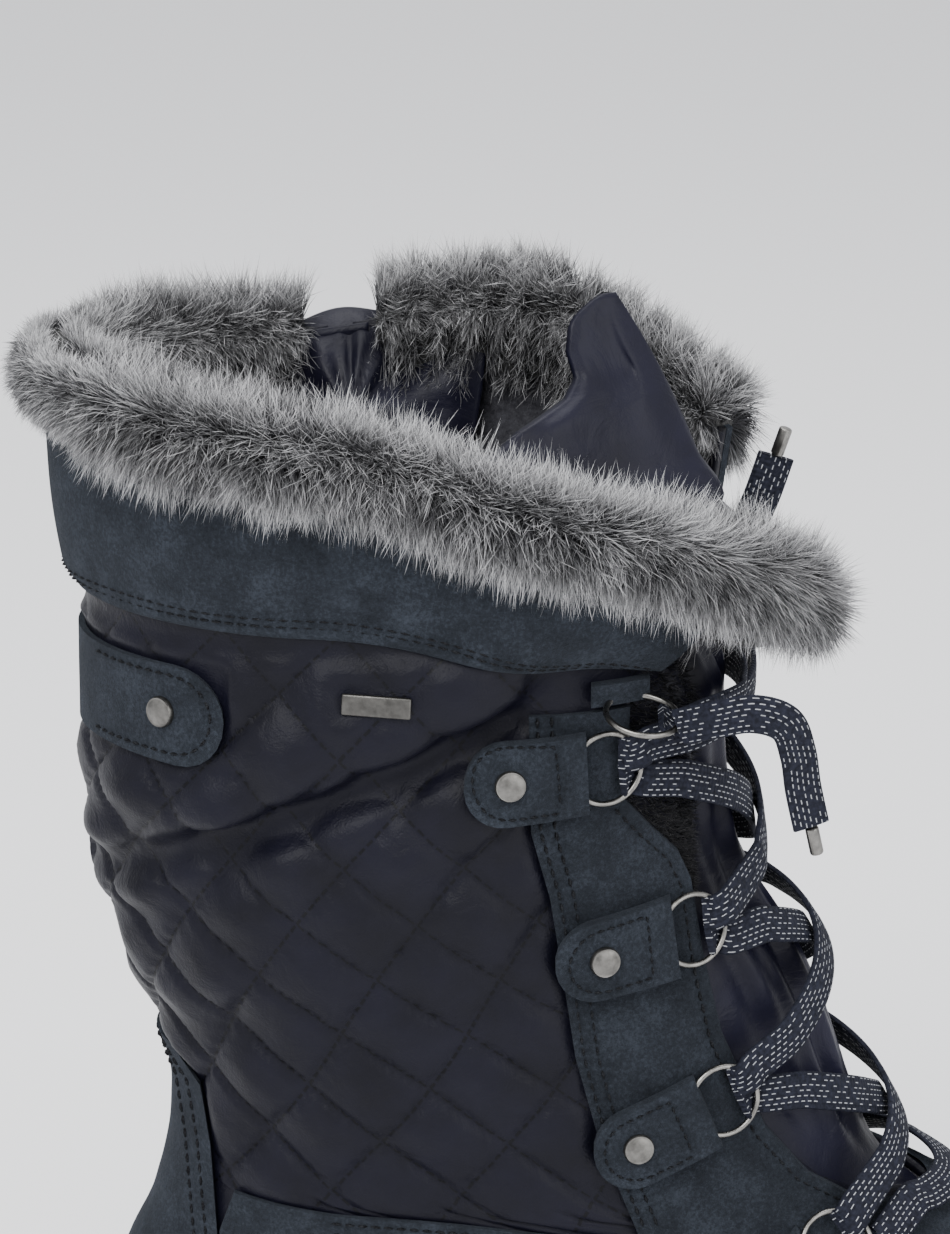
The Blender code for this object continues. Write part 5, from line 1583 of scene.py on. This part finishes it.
class BOOT_OT_fur(bpy.types.Operator):
    """Fur collar: a dark body under locks of hair"""

    bl_idname = "boot.fur"
    bl_label = "Fur"

    def execute(self, context):
        throat = at(THROAT[1])[0]
        outer = (step_at(ZIP_X - 0.65 * FUR_SPLIT, 1), step_at(throat + 5 * GAP, -1), 0.016)
        inner = (step_at(ZIP_X + 0.6 * FUR_SPLIT, 1), step_at(throat - 0.3 * FUR_SHORT, 1), 0.003)
        base = Finish("fur_base", (0.02, 0.02, 0.023), 0.95, sheen=0.1)
        base.colour(base.ramp(base.noise(500.0, 4.0, 0.7), (0.3, (0.008,) * 3), (0.75, (0.06,) * 3)))
        base.bump(base.noise(900.0, 4.0, 0.7), 0.001, 1.0)
        finish = fur_finish()
        for label, ends, parts in (("outer", outer, 3), ("inner", inner, 1)):
            body = self.body(f"fur_body_{label}", ends, base.material)
            settle(body, "grey_fur", f"fur_{label}")
            for part in range(parts):
                span = (part / parts, (part + 1) / parts)
                self.hairs(f"fur_{label}_{part + 1}", ends, span, finish)
        return {"FINISHED"}

    def body(self, name, ends, finish):
        share = np.linspace(0.0, 1.0, 90)[:, None]
        around = np.linspace(0.0, 1.0, 26)[None, :]
        s, a = np.broadcast_arrays(share, around)
        place, out, rise, size, _ = fur_path(*ends, s)
        points, _ = fur_section(place, out, rise, a, size)
        core = place - out * (WALL + 2 * GAP) - rise * 0.001
        return shade(slab(name, points, points * 0.35 + core * 0.65, finish), 60.0)

    def hairs(self, name, ends, span, finish):
        chance = np.random.default_rng(sum(ord(letter) for letter in name))
        count = sizes().fur_count
        locks = count // 40
        lock_share = chance.uniform(span[0], span[1], locks)
        lock_around = chance.uniform(0.0, 1.0, locks)
        lock_lean = chance.normal(0.0, 0.52, (locks, 3))
        lock_pale = chance.uniform(0.0, 1.0, locks)
        member = chance.integers(0, locks, count)
        share = np.clip(lock_share[member] + chance.normal(0, 0.008, count), span[0], span[1])
        around = np.clip(lock_around[member] + chance.normal(0, 0.04, count), 0.0, 1.0)
        place, out, rise, size, ahead = fur_path(*ends, share)
        roots, ways = fur_section(place, out, rise, around, size)
        place, out, rise, size, _ = fur_path(*ends, lock_share)
        centre, lock_way = fur_section(place, out, rise, lock_around, size)
        long = sizes().fur_length
        target = centre + unit(lock_way + lock_lean * 0.5) * (0.95 * long)
        toward = unit(target[member] - roots)
        ways = unit(0.60 * ways + 0.75 * toward + 0.45 * ahead + 0.35 * lock_lean[member])
        down = np.array((0.0, 0.0, -1.0)) * (0.25 + 0.75 * (around > 0.60))[:, None]
        lengths = long * chance.uniform(0.50, 1.0, count)
        lengths = lengths * (0.72 + 0.42 * chance.uniform(0.0, 1.0, locks)[member])
        lengths = lengths * (1.0 - 0.25 * (around < 0.37)) * (1.0 - 0.5 * smooth(-0.030, -0.050, roots[:, 0]))
        crest = np.exp(-(((around - 0.49) / 0.11) ** 2))
        foot = np.exp(-(((around - 0.94) / 0.09) ** 2))
        tint = 0.22 + 0.64 * crest + 0.28 * foot + 0.60 * (lock_pale[member] - 0.5)
        tint = 1.0 / (1.0 + np.exp(-7.0 * (tint - 0.46 + chance.normal(0.0, 0.20, count))))
        pull = down * 0.5 + 0.2 * lock_lean[member]
        piece = strands(name, roots, ways * 2.2, pull, long, HAIR_WIDTH, 0.6, chance, finish, lengths, 2, tint)
        settle(piece, "grey_fur")


# Laces


def ribbon(name, path, outs, width, thickness, finish, start_run=0.0):
    """A flat woven band along a path, rounded at its edges, with its pattern along it."""
    path, outs = np.asarray(path, float), np.asarray(outs, float)
    run = unit(np.gradient(path, axis=0))
    out = unit(outs - run * (outs * run).sum(1)[:, None])
    across = np.cross(run, out)
    half, thick = width / 2, thickness / 2
    shape = ((-1.0, 0.0), (-0.93, 0.75), (-0.5, 1.0), (0.0, 1.0), (0.5, 1.0), (0.93, 0.75), (1.0, 0.0),
             (0.93, -0.75), (0.5, -1.0), (0.0, -1.0), (-0.5, -1.0), (-0.93, -0.75))
    rings = np.stack([path + across * (a * half) + out * (b * thick) for a, b in shape], 1)
    length = run_along(path) + start_run
    uv = np.stack([np.stack((np.full(len(path), (a + 1) / 2), length), -1) for a, _ in shape], 1)
    rows, columns = rings.shape[:2]
    faces = [grid_faces(rows, columns, True)]
    i = np.arange(columns // 2 - 1)
    cap = np.stack((i, i + 1, columns - i - 2, columns - i - 1), -1)
    faces += [cap, (cap + (rows - 1) * columns)[:, ::-1]]
    faces = np.concatenate(faces)[:, ::-1]
    return mesh_of(name, rings.reshape(-1, 3), faces, finish, uv.reshape(-1, 2))


def resample(points, count):
    """A smooth path through points, evenly spaced."""
    points = np.asarray([tuple(p) for p in points], float)
    dense = cubic(points, np.linspace(0, len(points) - 1, 40 * len(points)))
    run = run_along(dense)
    even = np.linspace(0.0, run[-1], count)
    return np.stack([np.interp(even, run, dense[:, k]) for k in range(3)], -1)


def ring_wrap(fastening, side, shift, over):
    """Points from inside a ring, over or under its wire, to just outside it, and their outs."""
    place = ring_place(fastening, side)
    away, along_ring = ring_ways(fastening, place)
    wire = RING_WIRE / 2 + LACE_THICKNESS / 2 + 0.0002
    sign = 1.0 if over else -1.0
    narrow = 0.62
    edge = math.sqrt(max(RING_RADIUS ** 2 - (shift * narrow) ** 2, 0.0))
    spots = (
        (edge - 0.0042, -sign * 0.0006, narrow),
        (edge - 0.0022, sign * wire * 0.55, narrow),
        (edge, sign * wire, 0.8),
        (edge + 0.0026, sign * wire * 0.6, 1.0),
    )
    up = Vector((0.0, 0.0, 1.0))
    points = [place @ (away * reach + along_ring * (shift * near) + up * high) for reach, high, near in spots]
    return points, place.to_3x3() @ up


class BOOT_OT_lacing(bpy.types.Operator):
    """Flat lace through the rings, with its two free ends"""

    bl_idname = "boot.lacing"
    bl_label = "Lacing"

    def execute(self, context):
        finish = lace_finish()
        apart = 0.515 * LACE_WIDTH
        for index, (high, low) in enumerate(zip(FASTENINGS, FASTENINGS[1:])):
            down = apart if high.rivet else 0.0
            pieces = []
            for side, lift in ((-1, -0.0004), (1, LACE_THICKNESS + 0.0003)):
                start = ring_wrap(high, side, -down, False)
                end = ring_wrap(low, -side, apart, True)
                name = f"lace_{high.name}_{side}"
                pieces.append(self.run(name, start, end, LACE_STAND_OFF + lift, finish, index + side))
            whole = joined(f"lace_strands_{high.name}", pieces)
            settle(shade(whole, 60.0), "navy_lace", f"lace_crossing_{high.name}")
        last = FASTENINGS[-1]
        low = -1.22 * apart
        start, end = ring_wrap(last, -1, low, False), ring_wrap(last, 1, low, False)
        bar = self.run("lace_foot", start, end, LACE_STAND_OFF, finish, 9)
        settle(shade(bar, 60.0), "navy_lace", "lace_bar")
        self.ends(finish)
        return {"FINISHED"}

    def run(self, name, start, end, lift, finish, lot):
        """One strand from inside one ring to inside another, close over the front."""
        first, out_first = start
        last, out_last = end
        spots = []
        for point in (first[-1], last[-1]):
            t, u = find_one(point.x, point.z, math.copysign(1.0, point.y))
            rise = float((np.array(point) - surface(t, u)).dot(normal(t, u)))
            spots.append((t, u if u > 0 else u + AROUND, rise))
        middle = []
        steps = 13
        for i in range(1, steps - 1):
            share = i / (steps - 1)
            t, u, rise = (a + (b - a) * share for a, b in zip(*spots))
            near = math.sin(math.pi * share) ** 0.8
            middle.append(Vector(surface(t, u) + normal(t, u) * (rise + (lift - rise) * near)))
        path = resample(list(first) + middle + list(reversed(last)), 120)
        share = np.linspace(0.0, 1.0, len(path))
        outs = np.array(out_first) * (1 - share[:, None]) + np.array(out_last) * share[:, None]
        t, u = (a + (b - a) * share for a, b in zip(spots[0][:2], spots[1][:2]))
        over = normal(t, u)
        weight = (np.maximum(np.sin(math.pi * share), 0.0) ** 0.5)[:, None]
        outs = unit(outs * (1 - weight) + over * weight)
        return ribbon(name, path, outs, LACE_WIDTH, LACE_THICKNESS * 0.85, finish, start_run=0.037 * lot)

    def ends(self, finish):
        """The free ends, each a flat lace with a metal tip."""
        metal = nickel_finish("tip_metal", 0.28)
        for side, label in ((-1, "outer"), (1, "inner")):
            route = lace_end_route(side)
            path = resample(route, 70)
            faces_out = (0.25, -1.0, 0.15) if side < 0 else (0.1, -1.0, 0.1)
            outs = np.tile(faces_out, (len(path), 1))
            width = LACE_WIDTH * 0.98
            lace = ribbon(f"lace_end_{label}_cloth", path, outs, width, LACE_THICKNESS * 0.85, finish)
            way = (route[-1] - route[-2]).normalized()
            start = route[-1] + way * 1.2 * GAP
            tip = self.tip(f"lace_tip_{label}", start, way, AGLET_LENGTH, metal)
            settle(tip, "brushed_nickel", f"aglet_{label}")
            settle(lace, "navy_lace", f"lace_end_{label}")

    def tip(self, name, start, way, length, finish):
        """A pressed metal tip: a tube drawn in at both ends."""
        deselect()
        bpy.ops.mesh.primitive_cylinder_add(vertices=20, radius=AGLET_RADIUS, depth=length)
        made = bpy.context.object
        made.name = name
        edited(made, bpy.ops.mesh.bevel, offset=AGLET_BEVEL, segments=2, affect="EDGES")
        turn = way.to_track_quat("Z", "Y").to_matrix().to_4x4()
        placed(made, Matrix.Translation(start + way * (length / 2)) @ turn, finish)
        return shade(made, 40.0)


# Metal


class BOOT_OT_metal(bpy.types.Operator):
    """Rings, domed rivets and the small bare plate"""

    bl_idname = "boot.metal"
    bl_label = "Metal"

    def execute(self, context):
        finish = nickel_finish()
        dome = nickel_finish("satin_nickel", 0.34, 0.75)
        for side, label in ((-1, "outer"), (1, "inner")):
            for fastening in FASTENINGS:
                name = f"{fastening.name}_{label}"
                place = ring_place(fastening, side)
                deselect()
                bpy.ops.mesh.primitive_torus_add(
                    major_segments=72, minor_segments=14, major_radius=RING_RADIUS, minor_radius=RING_WIRE / 2)
                ring = bpy.context.object
                ring.name = f"ring_{name}"
                ring.data.name = ring.name
                ring.data.transform(Matrix.Diagonal((1.0, 1.0, 1.12, 1.0)))
                settle(shade(placed(ring, place, finish), 60.0), "brushed_nickel", f"d_ring_{name}")
                if fastening.rivet:
                    t, u = find_one(*behind_bar(fastening, ((fastening.reach, 0.0),))[0], side)
                    lift = tab_seat(fastening) + TAB_THICKNESS + GAP + rise_near(t, u, RIVET_RADIUS)
                    self.rivet(f"cap_{name}", frame_at(t, u, lift), dome, f"rivet_{name}")
            top, foot = z_of(STRAP_TOP), z_of(STRAP_FOOT)
            t, u = find_one(x_of(STRAP_END) - 0.6 * (top - foot), (top + foot) / 2, side)
            lift = 2 * GAP + SUEDE + rise_near(t, u, RIVET_RADIUS)
            self.rivet(f"strap_cap_{label}", frame_at(t, u, lift), dome, f"strap_rivet_{label}")
        self.plate()
        return {"FINISHED"}

    def rivet(self, name, place, finish, node):
        """A domed cap with a rolled rim."""
        deselect()
        bpy.ops.mesh.primitive_uv_sphere_add(segments=40, ring_count=24, radius=RIVET_RADIUS)
        made = bpy.context.object
        made.name = name
        made.data.name = name
        for vert in made.data.vertices:
            x, y, z = vert.co
            flat = math.hypot(x, y) / RIVET_RADIUS
            rim = 0.00035 * math.exp(-(((flat - 0.93) / 0.06) ** 2))
            dome = (max(z, 0.0) / RIVET_RADIUS) ** 0.8 * RIVET_HEIGHT * 0.9
            vert.co.z = dome + (rim if z > 0 else 0.0) - (0.0003 if z < 0 else 0.0)
        settle(shade(placed(made, place, finish), 50.0), "brushed_nickel", node)

    def plate(self):
        """The small plate, bevelled and bare."""
        finish = nickel_finish("dark_nickel", 0.36, 0.45)
        t, u = find_one(*at(PLATE_AT), -1)
        lift = GAP + rise_near(t, u, 0.5 * math.hypot(PLATE_LENGTH, PLATE_HEIGHT))
        deselect()
        bpy.ops.mesh.primitive_cube_add(size=1.0)
        made = bpy.context.object
        made.name = "plate_metal"
        made.data.name = "plate_metal"
        made.data.transform(Matrix.Diagonal((PLATE_LENGTH, PLATE_HEIGHT, PLATE_THICKNESS, 1.0)))
        edited(made, bpy.ops.mesh.bevel, offset=PLATE_BEVEL, segments=3, affect="EDGES")
        place = frame_at(t, u, lift, math.radians(-3.0)) @ Matrix.Translation((0, 0, PLATE_THICKNESS / 2))
        settle(shade(placed(made, place, finish), 30.0), "brushed_nickel", "badge_plate")


class BOOT_OT_zip(bpy.types.Operator):
    """Inner side zip: tape, teeth, slider and pull"""

    bl_idname = "boot.zip"
    bl_label = "Zip"

    def execute(self, context):
        satin = satin_finish("zip_cloth", 0.9)
        rows = np.linspace(6.5, TOP, 120)
        start, end = -column_at(ZIP_X + ZIP_TAPE / 2, rows), -column_at(ZIP_X - ZIP_TAPE / 2, rows)
        t, u = shaft_grid(rows, start, end, 14)
        depth = -WALL - 1.5 * GAP
        settle(sheet("zip_tape_cloth", t, u, depth, depth - 0.001, satin), "navy_satin", "zip_tape")
        self.teeth()
        self.gusset(satin)
        metal = nickel_finish("zip_metal", 0.34)
        paint("zip_slider", metal)
        paint("zip_pull_tab", metal)
        return {"FINISHED"}

    def gusset(self, finish):
        """The nylon gathered behind the zip's top, its folds meeting at one point."""
        high, wide = np.meshgrid(np.linspace(0.0, 1.0, 46), np.linspace(-1.0, 1.0, 84), indexing="ij")
        t = TOP - 3.2 + 3.1 * high
        u = -column_at(ZIP_X, t.ravel()).reshape(t.shape) - wide * 1.9
        angle = np.arctan2(high - 0.72, wide * 0.9 - 0.06)
        away = np.hypot(high - 0.72, wide * 0.9 - 0.06)
        fold = 0.0030 * np.cos(angle * 5.0 + 0.8) * smooth(0.02, 0.35, away) + 0.0012 * np.sin(angle * 11.0)
        sag = 0.0065 * np.exp(-((wide / 0.55) ** 2)) + 0.0035
        depth = -WALL - 0.0024 - sag - fold * (1.0 - smooth(0.75, 1.0, np.abs(wide)))
        depth = depth * (1.0 - high ** 8) + 0.0036 * high ** 8
        face = skin(t, u, depth)
        face[..., 2] += 0.0016 * np.cos(wide * 7.0) * high ** 2 + 0.0022 * high ** 4
        back = face - normal(t, u) * 0.0007
        settle(slab("zip_gusset_nylon", face, back, finish), "navy_satin")

    def teeth(self):
        """Two rows of small teeth that mesh down the slot."""
        made = Finish("zip_teeth", (0.012, 0.012, 0.015), 0.35)
        made.colour(made.ramp(made.noise(900.0, 2.0, 0.5), (0.3, (0.008,) * 3), (0.7, (0.022,) * 3)))
        points, faces = [], []
        heights = np.arange(z_of(ZIP_FOOT + 0.01), z_of(0.975), TEETH_PITCH / 2)
        t, u = find(np.full(len(heights), ZIP_X), heights, 1)
        places, outs = surface(t, u), normal(t, u)
        for index in range(len(heights) - 1):
            way = unit(places[index + 1] - places[index])
            out = outs[index]
            side = np.cross(way, out) * (1 if index % 2 else -1)
            centre = places[index] - out * (WALL * 0.55)
            base = len(points)
            for a in (-0.0006, 0.0023):
                for b in (-0.00034, 0.00034):
                    for c in (-0.0007, 0.0006):
                        points.append(centre + side * a + way * b + out * c)
            faces += [[base + k for k in quad] for quad in
                      ((0, 1, 3, 2), (4, 6, 7, 5), (0, 4, 5, 1), (2, 3, 7, 6), (0, 2, 6, 4), (1, 5, 7, 3))]
        thing = mesh_of("zip_teeth_rows", points, faces, made.material, soft=False)
        settle(edited(thing, bpy.ops.mesh.normals_make_consistent, inside=False), "navy_satin")


# Stage


class BOOT_OT_stage(bpy.types.Operator):
    """Pale floor, soft lights and the camera"""

    bl_idname = "boot.stage"
    bl_label = "Stage"

    def execute(self, context):
        deselect()
        bpy.ops.mesh.primitive_plane_add(size=8.0, location=(0.0, 0.0, -0.0003))
        floor = bpy.context.object
        floor.name = "floor"
        made = Finish("pale_floor", (0.86, 0.86, 0.87), 0.9)
        floor.data.materials.append(made.material)
        self.camera()
        self.lights()
        world = context.scene.world or bpy.data.worlds.new("studio")
        context.scene.world = world
        world.use_nodes = True
        back = world.node_tree.nodes["Background"]
        back.inputs[0].default_value = WORLD_COLOUR
        back.inputs[1].default_value = WORLD_STRENGTH
        return {"FINISHED"}

    def camera(self):
        data = bpy.data.cameras.new("view")
        data.sensor_fit = "HORIZONTAL"
        data.sensor_width = SENSOR
        data.lens = LENS
        camera = bpy.data.objects.new("view", data)
        bpy.context.scene.collection.objects.link(camera)
        rise = math.radians(VIEW_RISE)
        distance = VIEW_WIDTH / SENSOR * LENS
        camera.location = Vector(VIEW_TARGET) + Vector((0.0, -math.cos(rise), math.sin(rise))) * distance
        camera.rotation_euler = (math.pi / 2 - rise, 0.0, 0.0)
        bpy.context.scene.camera = camera

    def lights(self):
        for name, place, size, power in (
            ("key", (-0.45, -0.95, 1.15), 0.9, 22.0),
            ("fill", (0.95, -0.85, 0.65), 1.0, 10.0),
            ("top", (0.05, 0.25, 1.35), 1.0, 14.0),
        ):
            data = bpy.data.lights.new(name, "AREA")
            data.size = size
            data.energy = power
            light = bpy.data.objects.new(name, data)
            bpy.context.scene.collection.objects.link(light)
            light.location = place
            aim = Vector(LIGHT_AIM) - Vector(place)
            light.rotation_euler = aim.to_track_quat("-Z", "Y").to_euler()


class BOOT_PT_panel(bpy.types.Panel):
    """Sizes, colours and the steps that build the boot"""

    bl_idname = "BOOT_PT_panel"
    bl_label = "Boot"
    bl_space_type = "VIEW_3D"
    bl_region_type = "UI"
    bl_category = "Boot"

    def draw(self, context):
        layout = self.layout
        for group in (context.scene.boot_sizes, context.scene.boot_colours):
            box = layout.box()
            for key in group.__annotations__:
                box.prop(group, key)
        for operator in OPERATORS:
            layout.operator(operator.bl_idname)


OPERATORS = (
    BOOT_OT_stage,
    BOOT_OT_lacing,
    BOOT_OT_shaft,
    BOOT_OT_suede,
    BOOT_OT_stitching,
    BOOT_OT_sole,
    BOOT_OT_tongue,
    BOOT_OT_metal,
    BOOT_OT_zip,
    BOOT_OT_fur,
)
GROUPS = (BootSizes, BootColours)


def register():
    for kind in GROUPS + OPERATORS + (BOOT_PT_panel,):
        bpy.utils.register_class(kind)
    bpy.types.Scene.boot_sizes = PointerProperty(type=BootSizes)
    bpy.types.Scene.boot_colours = PointerProperty(type=BootColours)


def unregister():
    del bpy.types.Scene.boot_colours
    del bpy.types.Scene.boot_sizes
    for kind in reversed(GROUPS + OPERATORS + (BOOT_PT_panel,)):
        bpy.utils.unregister_class(kind)


def main():
    register()
    for operator in OPERATORS:
        group, name = operator.bl_idname.split(".")
        getattr(getattr(bpy.ops, group), name)()


if __name__ == "__main__":
    main()
